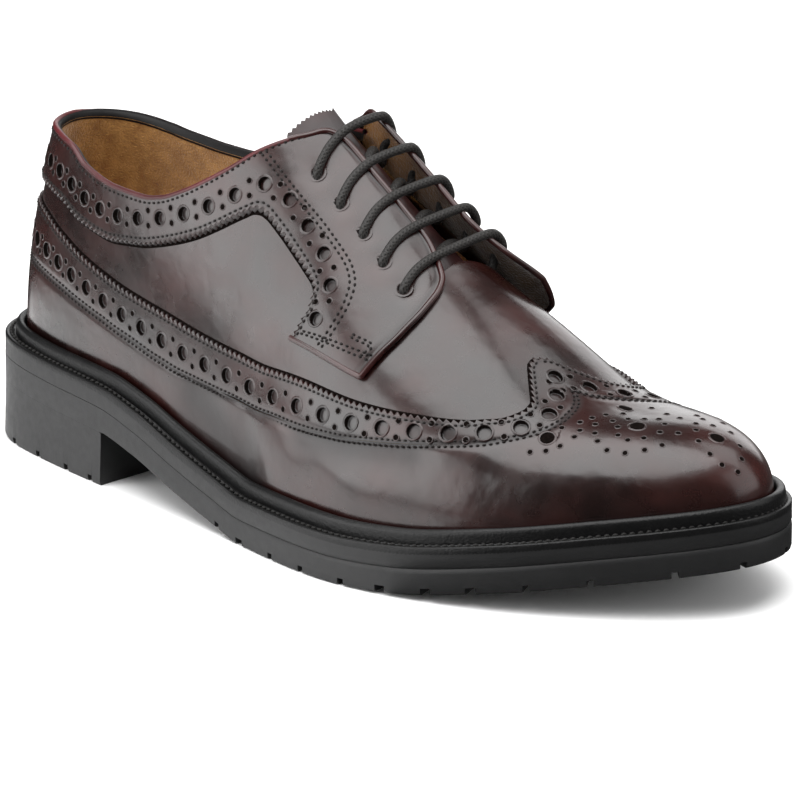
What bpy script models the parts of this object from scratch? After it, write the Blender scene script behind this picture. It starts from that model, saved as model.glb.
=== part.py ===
# Longwing derby brogue, right shoe. Sizes are in millimetres until the meshes are made, in metres.
# x runs from the back of the heel to the toe, minus y is the outer side, z is up from the floor.
import bmesh
import bpy
import numpy as np

for old in list(bpy.data.objects):
    bpy.data.objects.remove(old, do_unlink=True)

MM = 0.001
GAP = 0.35

# Sole
SOLE_LENGTH = 302.0
SOLE_BACK = 4.0
OUTSOLE_THICK = 8.3
MIDSOLE_TOP = 12.9
WELT_BOTTOM = 13.2
WELT_TOP = 15.0
UPPER_BOTTOM = 15.3
RIB_HEIGHT = 4.2
RIB_THICK = 3.3
INSOLE_TOP = 17.5
HEEL_BREAST = 75.0
HEEL_FLARE = 0.6
LUG_DEPTH = 2.2
LUG_REACH = 10.0

# Upper
WALL = 2.0
WING_STEP = 1.2
FACING_THICK = 1.3
FACING_GAP = 0.45
HEEL_CENTRE = 44.0
TOE_CENTRE = 262.0
CENTRE_SOFT = 26.0
HEEL_LEAN = 3.3
MEDIAL_LIFT = 0.018

# Lace and tongue
LACE_RADIUS = 1.2
EYELET_RADIUS = 2.1
LACE_UNDER = -2.7
LACE_OVER = 3.9
TONGUE_SINK = -5.7
TONGUE_THICK = 2.0

# Outline of the sole: x, lateral y, medial y
OUTLINE = [
    (4.0, -4.5, -4.5),
    (14.0, -26.5, 17.5),
    (35.0, -35.0, 27.0),
    (70.0, -42.0, 29.5),
    (110.0, -48.5, 28.5),
    (150.0, -56.0, 35.0),
    (190.0, -62.0, 45.0),
    (225.0, -56.5, 49.5),
    (255.0, -44.5, 47.5),
    (280.0, -28.3, 41.0),
    (296.0, -13.5, 30.0),
    (306.0, 8.0, 8.0),
]

# Underside of the outsole: x, height over the floor
TREAD = [
    (0.0, 20.5),
    (40.0, 18.5),
    (73.0, 17.3),
    (92.0, 13.8),
    (112.0, 8.0),
    (132.0, 3.2),
    (150.0, 0.0),
    (190.0, 0.0),
    (215.0, 1.0),
    (245.0, 5.2),
    (275.0, 10.5),
    (308.5, 15.7),
]

# How far the upper stands inside the sole's edge: x, distance
INSET = [(0.0, 9.0), (40.0, 7.5), (110.0, 8.5), (190.0, 9.0), (260.0, 7.5), (308.5, 6.5)]

# Crest of the last, the ankle part only a guide: x, y of the crest, height
CREST = [
    (44.0, -4.0, 168.0),
    (80.0, -2.8, 158.0),
    (110.0, -1.5, 147.0),
    (130.0, -0.4, 134.0),
    (145.0, 0.4, 122.0),
    (165.0, 0.4, 105.5),
    (186.0, -0.4, 88.5),
    (207.0, -1.4, 76.8),
    (225.0, -2.0, 66.0),
    (243.0, -1.2, 55.2),
    (262.0, 1.5, 51.8),
]

# Roundness of the section: x, lateral width power, medial width power, height power
SECTION = [
    (44.0, 1.3, 1.3, 1.0),
    (90.0, 1.3, 1.3, 1.0),
    (140.0, 1.25, 1.25, 1.0),
    (186.0, 1.15, 0.95, 0.95),
    (225.0, 1.0, 0.88, 0.9),
    (262.0, 0.85, 0.72, 0.87),
]

# Edge of the longwing: station at the welt, station of the edge, height share of the edge
WING = [
    (0.0, 0.0, 0.225),
    (0.10, 0.10, 0.222),
    (0.18, 0.18, 0.210),
    (0.233, 0.233, 0.190),
    (0.272, 0.272, 0.176),
    (0.305, 0.305, 0.163),
    (0.335, 0.335, 0.158),
    (0.39, 0.39, 0.172),
    (0.441, 0.441, 0.200),
    (0.491, 0.491, 0.246),
    (0.549, 0.549, 0.305),
    (0.609, 0.609, 0.385),
    (0.637, 0.637, 0.441),
    (0.666, 0.664, 0.513),
    (0.686, 0.684, 0.609),
    (0.700, 0.687, 0.690),
    (0.712, 0.681, 0.740),
    (0.724, 0.670, 0.810),
    (0.735, 0.661, 0.885),
    (0.745, 0.656, 1.0),
    (0.80, 0.745, 1.0),
    (0.86, 0.85, 1.0),
    (1.0, 1.0, 1.0),
]
WING_PEAK = 0.745

# Top edge of the upper, collar then throat: station at the welt, station of the edge, height share
TOP = [
    (0.0, 0.0, 0.365),
    (0.10, 0.10, 0.362),
    (0.18, 0.18, 0.356),
    (0.232, 0.232, 0.347),
    (0.265, 0.265, 0.321),
    (0.30, 0.30, 0.313),
    (0.339, 0.339, 0.325),
    (0.363, 0.363, 0.349),
    (0.383, 0.383, 0.387),
    (0.404, 0.404, 0.443),
    (0.423, 0.423, 0.511),
    (0.438, 0.438, 0.585),
    (0.450, 0.450, 0.630),
    (0.465, 0.465, 0.640),
    (0.50, 0.50, 0.632),
    (0.545, 0.545, 0.630),
    (0.566, 0.566, 0.635),
    (0.578, 0.577, 0.665),
    (0.586, 0.584, 0.740),
    (0.593, 0.588, 0.860),
    (0.598, 0.5895, 1.0),
    (0.745, 0.656, 1.0),
]
VAMP_POINT = 0.598

# Collar band and facing: station and height share of the collar or front edge, the same of the rear edge
FACING = [
    (0.0, 0.365, 0.0, 0.260),
    (0.10, 0.362, 0.095, 0.259),
    (0.18, 0.356, 0.175, 0.256),
    (0.232, 0.347, 0.226, 0.245),
    (0.265, 0.321, 0.262, 0.226),
    (0.30, 0.313, 0.30, 0.220),
    (0.339, 0.325, 0.339, 0.240),
    (0.363, 0.349, 0.361, 0.263),
    (0.383, 0.387, 0.382, 0.294),
    (0.404, 0.443, 0.402, 0.333),
    (0.423, 0.511, 0.419, 0.377),
    (0.438, 0.585, 0.431, 0.415),
    (0.452, 0.661, 0.441, 0.450),
    (0.465, 0.745, 0.448, 0.475),
    (0.4745, 0.822, 0.455, 0.488),
    (0.486, 0.858, 0.461, 0.491),
    (0.509, 0.874, 0.473, 0.490),
    (0.531, 0.894, 0.485, 0.486),
    (0.552, 0.909, 0.497, 0.480),
    (0.569, 0.880, 0.506, 0.474),
    (0.580, 0.840, 0.511, 0.455),
    (0.585, 0.770, 0.511, 0.430),
    (0.586, 0.690, 0.511, 0.410),
    (0.583, 0.580, 0.508, 0.385),
    (0.577, 0.487, 0.506, 0.360),
    (0.570, 0.395, 0.503, 0.333),
]

# Eyelets from the top down: station, height share
EYELETS = [(0.481, 0.689), (0.503, 0.692), (0.525, 0.698), (0.545, 0.698), (0.566, 0.699)]

# Lug notches along each side of the forefoot and of the heel: station, width
SOLE_NOTCHES = [
    (0.462, 2.2),
    (0.487, 3.4),
    (0.522, 2.2),
    (0.554, 2.2),
    (0.591, 2.2),
    (0.623, 3.4),
    (0.658, 3.4),
    (0.692, 3.4),
    (0.734, 2.2),
    (0.784, 2.2),
    (0.861, 2.2),
    (0.948, 2.2),
]
HEEL_NOTCHES = [(0.165, 2.2), (0.222, 2.2), (0.272, 2.2), (0.308, 2.2)]


def smooth(rows, column, where):
    """Natural cubic spline through a column of a table, over its first column."""
    table = np.array(rows, float)
    knots = table[:, 0]
    values = table[:, column]
    steps = np.diff(knots)
    count = len(knots)
    matrix = np.eye(count)
    right = np.zeros(count)
    for i in range(1, count - 1):
        matrix[i, i - 1 : i + 2] = steps[i - 1], 2 * (steps[i - 1] + steps[i]), steps[i]
        slopes = np.diff(values[i - 1 : i + 2]) / steps[i - 1 : i + 1]
        right[i] = 6 * (slopes[1] - slopes[0])
    bend = np.linalg.solve(matrix, right)
    where = np.asarray(where, float)
    i = np.clip(np.searchsorted(knots, where) - 1, 0, count - 2)
    a = (knots[i + 1] - where) / steps[i]
    b = (where - knots[i]) / steps[i]
    curve = ((a**3 - a) * bend[i] + (b**3 - b) * bend[i + 1]) * steps[i] ** 2 / 6
    return a * values[i] + b * values[i + 1] + curve


def steady(rows, column, where):
    """Monotone cubic through a column of a table, so flat rows stay flat."""
    table = np.array(rows, float)
    knots = table[:, 0]
    values = table[:, column]
    steps = np.diff(knots)
    slopes = np.diff(values) / steps
    first = 2 * steps[1:] + steps[:-1]
    second = steps[1:] + 2 * steps[:-1]
    same = slopes[:-1] * slopes[1:] > 0
    before = np.where(same, slopes[:-1], 1.0)
    after = np.where(same, slopes[1:], 1.0)
    tangents = np.zeros(len(knots))
    tangents[0] = slopes[0]
    tangents[-1] = slopes[-1]
    tangents[1:-1] = np.where(same, (first + second) / (first / before + second / after), 0.0)
    where = np.clip(np.asarray(where, float), knots[0], knots[-1])
    i = np.clip(np.searchsorted(knots, where) - 1, 0, len(knots) - 2)
    t = (where - knots[i]) / steps[i]
    ends = values[i] * (1 + 2 * t) * (1 - t) ** 2 + values[i + 1] * t * t * (3 - 2 * t)
    return ends + steps[i] * t * (1 - t) * (tangents[i] * (1 - t) - tangents[i + 1] * t)


ROUND_OUTLINE = [
    (np.arccos(1 - 2 * (x - SOLE_BACK) / SOLE_LENGTH) / np.pi, lateral, medial)
    for x, lateral, medial in OUTLINE
]


def outline(v):
    """Point of the sole's outline: v runs 0 heel, 1 toe on the lateral side, and on to 2 on the medial."""
    v = np.asarray(v, float) % 2
    u = np.where(v <= 1, v, 2 - v)
    x = SOLE_BACK + SOLE_LENGTH / 2 * (1 - np.cos(np.pi * u))
    return x, np.where(v <= 1, smooth(ROUND_OUTLINE, 1, u), smooth(ROUND_OUTLINE, 2, u))


def inset_outline(v, inset):
    """The outline moved inward by a distance."""
    v = np.asarray(v, float)
    x, y = outline(v)
    ahead_x, ahead_y = outline(v + 1e-4)
    back_x, back_y = outline(v - 1e-4)
    along_x = ahead_x - back_x
    along_y = ahead_y - back_y
    length = np.hypot(along_x, along_y)
    return x - along_y / length * inset, y + along_x / length * inset


def over_zero(value, soft):
    """The value where positive, else zero, rounded off over the soft range."""
    return np.where(value < -soft, 0.0, np.where(value > soft, value, (value + soft) ** 2 / (4 * soft)))


def last(v, q, swell=0.0):
    """Point of the last: v round the sole, q from 0 at the welt to 1 on the crest, swell outward."""
    v, q, swell = np.broadcast_arrays(
        np.asarray(v, float), np.asarray(q, float), np.asarray(swell, float)
    )
    x, _ = outline(v)
    foot_x, foot_y = inset_outline(v, steady(INSET, 1, x) - swell)
    crest_x = x + over_zero(HEEL_CENTRE - x, CENTRE_SOFT) - over_zero(x - TOE_CENTRE, CENTRE_SOFT)
    crest_y = smooth(CREST, 1, crest_x)
    foot_z = steady(TREAD, 1, x) + UPPER_BOTTOM
    crest_z = smooth(CREST, 2, crest_x) + swell
    power = np.where(v % 2 <= 1, steady(SECTION, 1, crest_x), steady(SECTION, 2, crest_x))
    back = np.clip((HEEL_CENTRE - x) / HEEL_CENTRE, 0, 1)
    power = power + (HEEL_LEAN - power) * back**2 * (3 - 2 * back)
    turn = q * np.pi / 2
    width = np.where(q >= 1, 0.0, np.abs(np.cos(turn)) ** power)
    height = np.sin(turn) ** steady(SECTION, 3, crest_x)
    return np.stack(
        [
            crest_x + (foot_x - crest_x) * width,
            crest_y + (foot_y - crest_y) * width,
            foot_z + (crest_z - foot_z) * height,
        ],
        axis=-1,
    )


ROUND = np.linspace(0, 2, 720)
EDGE_X, EDGE_Y = outline(ROUND)
CENTRE = np.array([SOLE_BACK + (SOLE_LENGTH - HEEL_FLARE) / 2, (EDGE_Y.max() + EDGE_Y.min()) / 2, 0.0])


def quads(grid, closed=False):
    """Four-cornered faces of a grid of points, the first direction closed on itself if asked."""
    faces = []
    columns = grid.shape[0]
    for i in range(columns if closed else columns - 1):
        j = (i + 1) % columns
        for k in range(grid.shape[1] - 1):
            faces.append([grid[i, k], grid[j, k], grid[j, k + 1], grid[i, k + 1]])
    return faces


def paint(name, colour, roughness):
    material = bpy.data.materials.new(name)
    material.use_nodes = True
    shader = material.node_tree.nodes["Principled BSDF"]
    shader.inputs["Base Color"].default_value = (*colour, 1.0)
    shader.inputs["Roughness"].default_value = roughness
    return material


def solid(name, faces, colour, roughness=0.5, helper=False):
    """One closed mesh from faces given as corner points, welded where corners meet."""
    shape = bmesh.new()
    for face in faces:
        corners = [shape.verts.new((np.asarray(point) - CENTRE) * MM) for point in face]
        shape.faces.new(corners)
    bmesh.ops.remove_doubles(shape, verts=shape.verts, dist=2e-5)
    bmesh.ops.dissolve_degenerate(shape, edges=shape.edges, dist=1e-6)
    bmesh.ops.recalc_face_normals(shape, faces=shape.faces)
    if shape.calc_volume(signed=True) < 0:
        bmesh.ops.reverse_faces(shape, faces=shape.faces)
    mesh = bpy.data.meshes.new(name)
    shape.to_mesh(mesh)
    shape.free()
    body = bpy.data.objects.new(name, mesh)
    bpy.context.scene.collection.objects.link(body)
    mesh.materials.append(paint(name, colour, roughness))
    if helper:
        body.hide_render = True
        body.display_type = "WIRE"
    return body


def cut(body, cutter):
    knife = body.modifiers.new("cut", "BOOLEAN")
    knife.operation = "DIFFERENCE"
    knife.solver = "EXACT"
    knife.object = cutter


def sides(points_of, stations):
    """Grid over the medial side, the heel and the lateral side, in that order."""
    return np.concatenate([points_of(True, stations[::-1]), points_of(False, stations[1:])])


# Sole layers. Each is a stack of outlines (inset, height over the tread), closed by flat rungs.
SOLE_STATIONS = np.concatenate(
    [np.linspace(0, 0.22, 8), np.linspace(0.26, 0.75, 17), np.linspace(0.785, 1, 8)]
)


def stack(v, rows, base):
    """Outline points at each (inset, height) row, height counted from the base over x."""
    x, _ = outline(v)
    levels = []
    for inset, height in rows:
        edge_x, edge_y = inset_outline(v, inset(x) if callable(inset) else inset)
        levels.append(np.stack([edge_x, edge_y, base(x) + height], axis=-1))
    return np.stack(levels, axis=1)


def tread(x):
    return steady(TREAD, 1, x)


def plate(rows, base):
    """Faces of a closed plate: side walls, then rungs from side to side below and above."""
    lateral = stack(SOLE_STATIONS, rows, base)
    medial = stack(2 - SOLE_STATIONS, rows, base)
    faces = quads(lateral) + quads(medial)
    for level in (0, -1):
        faces += quads(np.stack([lateral[:, level], medial[:, level]], axis=1))
    return faces


def notch_boxes(notches, base, reach, depth, flare):
    """Boxes that cut the lug notches, each along the inward normal of the edge."""
    faces = []
    for side in (0, 1):
        for station, width in notches:
            v = station if side == 0 else 2 - station
            outer = np.array(inset_outline(v, -flare - 2.0))
            inner = np.array(inset_outline(v, reach))
            inward = (inner - outer) / np.linalg.norm(inner - outer)
            across = np.array([-inward[1], inward[0]]) * width / 2
            floor = float(base(outline(v)[0]))
            ring = [outer - across, outer + across, inner + across, inner - across]
            low = [np.array([*point, floor - 4.0]) for point in ring]
            high = [np.array([*point, floor + depth]) for point in ring]
            faces += [low, high]
            faces += [[low[i], low[i - 3], high[i - 3], high[i]] for i in range(4)]
    return faces


BLACK = (0.012, 0.012, 0.013)
BURGUNDY = (0.07, 0.012, 0.012)
TAN = (0.36, 0.18, 0.06)

OUTSOLE_ROWS = [
    (0.9, 0.0),
    (0.0, 0.9),
    (0.0, 6.4),
    (0.8, 7.3),
    (0.8, OUTSOLE_THICK),
]
outsole = solid("outsole", plate(OUTSOLE_ROWS, tread), BLACK)
sole_notches = solid(
    "sole_notches", notch_boxes(SOLE_NOTCHES, tread, LUG_REACH, LUG_DEPTH, 0.0), BLACK, helper=True
)
cut(outsole, sole_notches)

MIDSOLE_ROWS = [(0.5, OUTSOLE_THICK + 0.3), (0.3, OUTSOLE_THICK + 1.0), (0.3, MIDSOLE_TOP)]
solid("midsole", plate(MIDSOLE_ROWS, tread), BLACK)


# Heel block: the outline as far as the breast, flared at the bottom, with its top under the outsole.
def heel_faces():
    breast = np.arccos(1 - 2 * (HEEL_BREAST - SOLE_BACK) / SOLE_LENGTH) / np.pi
    stations = np.concatenate([np.linspace(0, 0.2, 8), np.linspace(0.23, breast, 6)])
    lateral = []
    medial = []
    for v, wall in ((stations, lateral), (2 - stations, medial)):
        top = tread(outline(v)[0]) - 0.3
        for inset, share in ((0.4 - HEEL_FLARE, 0.0), (-HEEL_FLARE, 0.07), (0.0, 0.75), (0.0, 1.0)):
            edge_x, edge_y = inset_outline(v, inset)
            edge_x = np.minimum(edge_x, HEEL_BREAST)
            wall.append(np.stack([edge_x, edge_y, top * share], axis=-1))
    lateral = np.stack(lateral, axis=1)
    medial = np.stack(medial, axis=1)
    faces = quads(lateral) + quads(medial)
    for level in (0, -1):
        faces += quads(np.stack([lateral[:, level], medial[:, level]], axis=1))
    faces += quads(np.stack([lateral[-1], medial[-1]], axis=1))
    return faces


def floor_level(x):
    return 0.0 * x


heel = solid("heel", heel_faces(), BLACK)
heel_notches = solid(
    "heel_notches", notch_boxes(HEEL_NOTCHES, floor_level, 9.0, LUG_DEPTH, HEEL_FLARE), BLACK, helper=True
)
cut(heel, heel_notches)


# Storm welt: a flange on the midsole with a rib that stands against the upper.
def welt_faces():
    v = np.concatenate([SOLE_STATIONS, 2 - SOLE_STATIONS[-2:0:-1]])
    x, _ = outline(v)
    wall = steady(INSET, 1, x) - WING_STEP - GAP
    zero = 0.0 * x
    section = [
        (zero + 0.3, WELT_BOTTOM),
        (zero + 0.3, WELT_TOP - 0.4),
        (zero + 0.7, WELT_TOP),
        (wall - RIB_THICK, WELT_TOP),
        (wall - RIB_THICK + 0.5, WELT_TOP + 0.7 * RIB_HEIGHT),
        (wall - 0.5 * RIB_THICK, WELT_TOP + RIB_HEIGHT),
        (wall, WELT_TOP + 0.85 * RIB_HEIGHT),
        (wall, WELT_TOP),
        (wall + GAP + WING_STEP + WALL, WELT_TOP),
        (wall + GAP + WING_STEP + WALL, WELT_BOTTOM),
    ]
    section.append(section[0])
    levels = []
    for inset, height in section:
        edge_x, edge_y = inset_outline(v, inset)
        levels.append(np.stack([edge_x, edge_y, tread(x) + height], axis=-1))
    return quads(np.stack(levels, axis=1), closed=True)


solid("welt", welt_faces(), BLACK)


def insole_inset(x):
    return steady(INSET, 1, x) + WALL + 2 * GAP


solid("insole", plate([(insole_inset, WELT_BOTTOM), (insole_inset, INSOLE_TOP)], tread), TAN, 0.8)

# Upper: one hollow wall. Below the longwing's edge it is thicker by the step.
COLUMNS = np.unique(
    np.round(
        np.concatenate(
            [
                np.linspace(0, 0.65, 23),
                np.linspace(0.445, 0.465, 2),
                np.linspace(0.566, 0.598, 5),
                np.linspace(0.665, 0.745, 9),
                np.linspace(0.775, 1.0, 9),
            ]
        ),
        4,
    )
)
BEHIND_PEAK = COLUMNS[COLUMNS <= WING_PEAK]
BEHIND_VAMP = COLUMNS[COLUMNS <= VAMP_POINT]


def mirrored(medial, station):
    """Place round the outline of a station on the asked side."""
    return 2 - station if medial else station


def lift(medial, station):
    """The medial collar stands a little higher than the lateral one."""
    bump = np.clip(1 - ((station - 0.33) / 0.12) ** 2, 0, 1) ** 2
    return MEDIAL_LIFT * bump if medial else 0.0 * bump


def below_edge(rows, swell):
    """Upper from the welt to the longwing's edge."""

    def points(medial, station):
        share = np.linspace(0, 1, rows + 1)
        edge_v = steady(WING, 1, station)[:, None]
        edge_q = steady(WING, 2, station)[:, None]
        v_here = station[:, None] + (edge_v - station[:, None]) * share**2
        return last(mirrored(medial, v_here), edge_q * share, swell)

    return points


def above_edge(rows, swell):
    """Upper from the longwing's edge to the collar, the throat or the crest."""

    def points(medial, station):
        share = np.linspace(0, 1, rows + 1)
        edge_v = steady(WING, 1, station)[:, None]
        edge_q = steady(WING, 2, station)[:, None]
        top_v = steady(TOP, 1, station)[:, None]
        top_q = (steady(TOP, 2, station) + lift(medial, station))[:, None]
        v_here = edge_v + (top_v - edge_v) * share
        return last(mirrored(medial, v_here), edge_q + (top_q - edge_q) * share, swell)

    return points


outer_low = sides(below_edge(6, WING_STEP), COLUMNS)[:-1]
inner_low = sides(below_edge(4, -WALL), COLUMNS)[:-1]
edge_thick = sides(below_edge(1, WING_STEP), BEHIND_PEAK)[:, -1]
outer_high = sides(above_edge(6, 0.0), BEHIND_PEAK)
inner_high = sides(above_edge(4, -WALL), BEHIND_PEAK)
rim_outer = sides(above_edge(1, 0.0), BEHIND_VAMP)[:, -1]
rim_inner = sides(above_edge(1, -WALL), BEHIND_VAMP)[:, -1]
upper_faces = quads(outer_low, closed=True) + quads(inner_low, closed=True)
upper_faces += quads(outer_high) + quads(inner_high)
upper_faces += quads(np.stack([edge_thick, outer_high[:, 0]], axis=1))
upper_faces += quads(np.stack([rim_outer, rim_inner], axis=1))
upper_faces += quads(np.stack([outer_low[:, 0], inner_low[:, 0]], axis=1), closed=True)
solid("upper", upper_faces, BURGUNDY, 0.25)

# Collar band with the two facings: one overlay, its width carried along the collar and down the front.
BAND_STEPS = 38
BAND_ACROSS = 6
FACING_ROWS = [(i / (len(FACING) - 1), *row) for i, row in enumerate(FACING)]


def band(swell):
    def points(medial, along):
        share = np.linspace(0, 1, BAND_ACROSS + 1)
        front_v = steady(FACING_ROWS, 1, along)
        front_q = steady(FACING_ROWS, 2, along) + lift(medial, front_v)
        rear_v = steady(FACING_ROWS, 3, along)
        rear_q = steady(FACING_ROWS, 4, along) + lift(medial, rear_v)
        v_here = front_v[:, None] + (rear_v - front_v)[:, None] * share
        q_here = front_q[:, None] + (rear_q - front_q)[:, None] * share
        return last(mirrored(medial, v_here), q_here, swell)

    return points


BAND_ALONG = np.linspace(0, 1, BAND_STEPS + 1)
band_outer = sides(band(FACING_GAP + FACING_THICK), BAND_ALONG)
band_inner = sides(band(FACING_GAP), BAND_ALONG)
band_faces = quads(band_outer) + quads(band_inner)
for side in (0, -1):
    band_faces += quads(np.stack([band_outer[:, side], band_inner[:, side]], axis=1))
    band_faces += quads(np.stack([band_outer[side], band_inner[side]], axis=1))
facing = solid("facing", band_faces, BURGUNDY, 0.25)


def tube(path, radius, corners):
    """Faces of a round tube along a path of points, with flat ends."""
    along = np.gradient(path, axis=0)
    along /= np.linalg.norm(along, axis=1)[:, None]
    side = np.cross(along[0], [0.3, 0.9, 0.2])
    turns = np.linspace(0, 2 * np.pi, corners + 1)[:-1]
    rings = []
    for point, ahead in zip(path, along):
        side = side - ahead * np.dot(side, ahead)
        side /= np.linalg.norm(side)
        other = np.cross(ahead, side)
        rings.append(point + radius * (np.cos(turns)[:, None] * side + np.sin(turns)[:, None] * other))
    rings = np.array(rings)
    faces = quads(np.concatenate([rings, rings[:, :1]], axis=1))
    return faces + [list(rings[0]), list(rings[-1])]


# Eyelets: round holes through each facing, square to the wall.
eyelet_faces = []
for station, share in EYELETS:
    for v in (station, 2 - station):
        low = last(v, share, FACING_GAP - 1.6)
        high = last(v, share, FACING_GAP + FACING_THICK + 1.6)
        eyelet_faces += tube(np.linspace(low, high, 2), EYELET_RADIUS, 8)
eyelet_holes = solid("eyelet_holes", eyelet_faces, BURGUNDY, helper=True)
cut(facing, eyelet_holes)

# Tongue: a curved leaf under the facings, its front end up against the vamp.
# Columns: station, height share of the side edges, swell, how far the sides stand behind the middle
TONGUE = [
    (0.459, 0.70, TONGUE_SINK + 0.5, 0.012),
    (0.463, 0.67, TONGUE_SINK + 0.3, 0.010),
    (0.470, 0.64, TONGUE_SINK, 0.006),
    (0.485, 0.61, TONGUE_SINK, 0.0),
    (0.565, 0.60, TONGUE_SINK, 0.0),
    (0.590, 0.62, -3.6, 0.0),
    (0.606, 0.66, -WALL - 1.8 * GAP, 0.0),
    (0.618, 0.70, -WALL - 1.8 * GAP, 0.0),
]


def tongue_leaf(drop):
    station = np.concatenate([[0.459, 0.461, 0.464, 0.470], np.linspace(0.480, 0.618, 9)])
    across = np.linspace(-1, 1, 11)
    lowest = steady(TONGUE, 1, station)[:, None]
    share = 1 - (1 - lowest) * np.abs(across)
    behind = station[:, None] - steady(TONGUE, 3, station)[:, None] * np.abs(across)
    v = np.where(across < 0, behind, 2 - behind)
    return last(v, share, steady(TONGUE, 2, station)[:, None] - drop)


leaf_top = tongue_leaf(0.0)
leaf_under = tongue_leaf(TONGUE_THICK)
leaf_faces = quads(leaf_top) + quads(leaf_under)
for side in (0, -1):
    leaf_faces += quads(np.stack([leaf_top[:, side], leaf_under[:, side]], axis=1))
    leaf_faces += quads(np.stack([leaf_top[side], leaf_under[side]], axis=1))
solid("tongue", leaf_faces, BURGUNDY, 0.35)

# Lace: straight bars over the facings and slanted runs beneath, one cord through all the eyelets.
TOWARD_CREST = 0.055


def lace_path():
    knots = []
    for number in range(len(EYELETS) - 1, -1, -1):
        station, share = EYELETS[number]
        inner = share + TOWARD_CREST
        far = 2 - station
        knots += [last(far, share, LACE_UNDER), last(far, share, 0.3), last(far, share, LACE_OVER)]
        for q in (inner, 0.87):
            knots.append(last(far, q, LACE_OVER))
        knots.append(last(station, 1.0, LACE_OVER))
        for q in (0.87, inner):
            knots.append(last(station, q, LACE_OVER))
        for rise in (LACE_OVER, 0.3, LACE_UNDER):
            knots.append(last(station, share, rise))
        if number:
            above, above_share = EYELETS[number - 1]
            for part in (0.15, 0.5, 0.85):
                v = station + (above - station) * part
                q = 1 - abs(1 - 2 * part) * (1 - inner)
                knots.append(last(v if part <= 0.5 else 2 - v, q, LACE_UNDER - 0.2))
    path = np.array(knots)
    before = path[:-1] * 0.75 + path[1:] * 0.25
    after = path[:-1] * 0.25 + path[1:] * 0.75
    between = np.stack([before, after], axis=1).reshape(-1, 3)
    return np.concatenate([path[:1], between, path[-1:]])


solid("lace", tube(lace_path(), LACE_RADIUS, 5), (0.02, 0.015, 0.013), 0.6)
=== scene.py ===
import bmesh
import bpy
import numpy as np
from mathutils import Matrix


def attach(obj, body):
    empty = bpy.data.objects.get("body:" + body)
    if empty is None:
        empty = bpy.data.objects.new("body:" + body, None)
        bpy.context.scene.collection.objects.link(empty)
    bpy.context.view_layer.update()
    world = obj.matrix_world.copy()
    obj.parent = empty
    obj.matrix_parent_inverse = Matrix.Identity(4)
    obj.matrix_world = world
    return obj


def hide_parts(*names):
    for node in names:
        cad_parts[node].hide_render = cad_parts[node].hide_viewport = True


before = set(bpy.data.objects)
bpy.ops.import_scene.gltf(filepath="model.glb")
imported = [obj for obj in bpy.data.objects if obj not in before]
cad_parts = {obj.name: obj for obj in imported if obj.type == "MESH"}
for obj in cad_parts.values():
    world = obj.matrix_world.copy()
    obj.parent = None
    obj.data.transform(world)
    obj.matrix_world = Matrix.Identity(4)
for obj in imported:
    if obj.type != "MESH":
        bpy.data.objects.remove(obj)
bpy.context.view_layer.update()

# Insole
# A board cut to the inside of the wall, covered with tan suede and glued down on the welt.
# It shows through the collar.
SOLE_BACK = 4.0
SOLE_LENGTH = 302.0
# x, outer y, inner y
OUTLINE = [
    (4.0, -4.5, -4.5),
    (14.0, -26.5, 17.5),
    (35.0, -35.0, 27.0),
    (70.0, -42.0, 29.5),
    (110.0, -48.5, 28.5),
    (150.0, -56.0, 35.0),
    (190.0, -62.0, 45.0),
    (225.0, -56.5, 49.5),
    (255.0, -44.5, 47.5),
    (280.0, -28.3, 41.0),
    (296.0, -13.5, 30.0),
    (306.0, 8.0, 8.0),
]
# x, height of the outsole's underside
TREAD = [
    (0.0, 20.5),
    (40.0, 18.5),
    (73.0, 17.3),
    (92.0, 13.8),
    (112.0, 8.0),
    (132.0, 3.2),
    (150.0, 0.0),
    (190.0, 0.0),
    (215.0, 1.0),
    (245.0, 5.2),
    (275.0, 10.5),
    (308.5, 15.7),
]
# x, distance of the upper's foot inside the sole's edge
INSET = [(0.0, 9.0), (40.0, 7.5), (110.0, 8.5), (190.0, 9.0), (260.0, 7.5), (308.5, 6.5)]
WALL = 2.0
INSOLE_FOOT = 13.2
INSOLE_TOP = 17.5
INSOLE_GAP = 0.7
BEVEL_IN = 0.6
BEVEL_DOWN = 0.5
# darkness above which a face gets a piece's second finish
PIT_DARK = 0.8
# in metres: a millimetre, and the distance within which points are welded
MM = 0.001
WELD = 2e-6


def smooth(rows, column, where):
    """Natural cubic spline through a column of a table, over its first column."""
    table = np.array(rows, float)
    knots = table[:, 0]
    values = table[:, column]
    steps = np.diff(knots)
    count = len(knots)
    matrix = np.eye(count)
    right = np.zeros(count)
    inside = np.arange(1, count - 1)
    matrix[inside, inside - 1] = steps[:-1]
    matrix[inside, inside] = 2 * (steps[:-1] + steps[1:])
    matrix[inside, inside + 1] = steps[1:]
    right[1:-1] = 6 * np.diff(np.diff(values) / steps)
    bend = np.linalg.solve(matrix, right)
    where = np.asarray(where, float)
    i = np.clip(np.searchsorted(knots, where) - 1, 0, count - 2)
    a = (knots[i + 1] - where) / steps[i]
    b = (where - knots[i]) / steps[i]
    curve = ((a**3 - a) * bend[i] + (b**3 - b) * bend[i + 1]) * steps[i] ** 2 / 6
    return a * values[i] + b * values[i + 1] + curve


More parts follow.
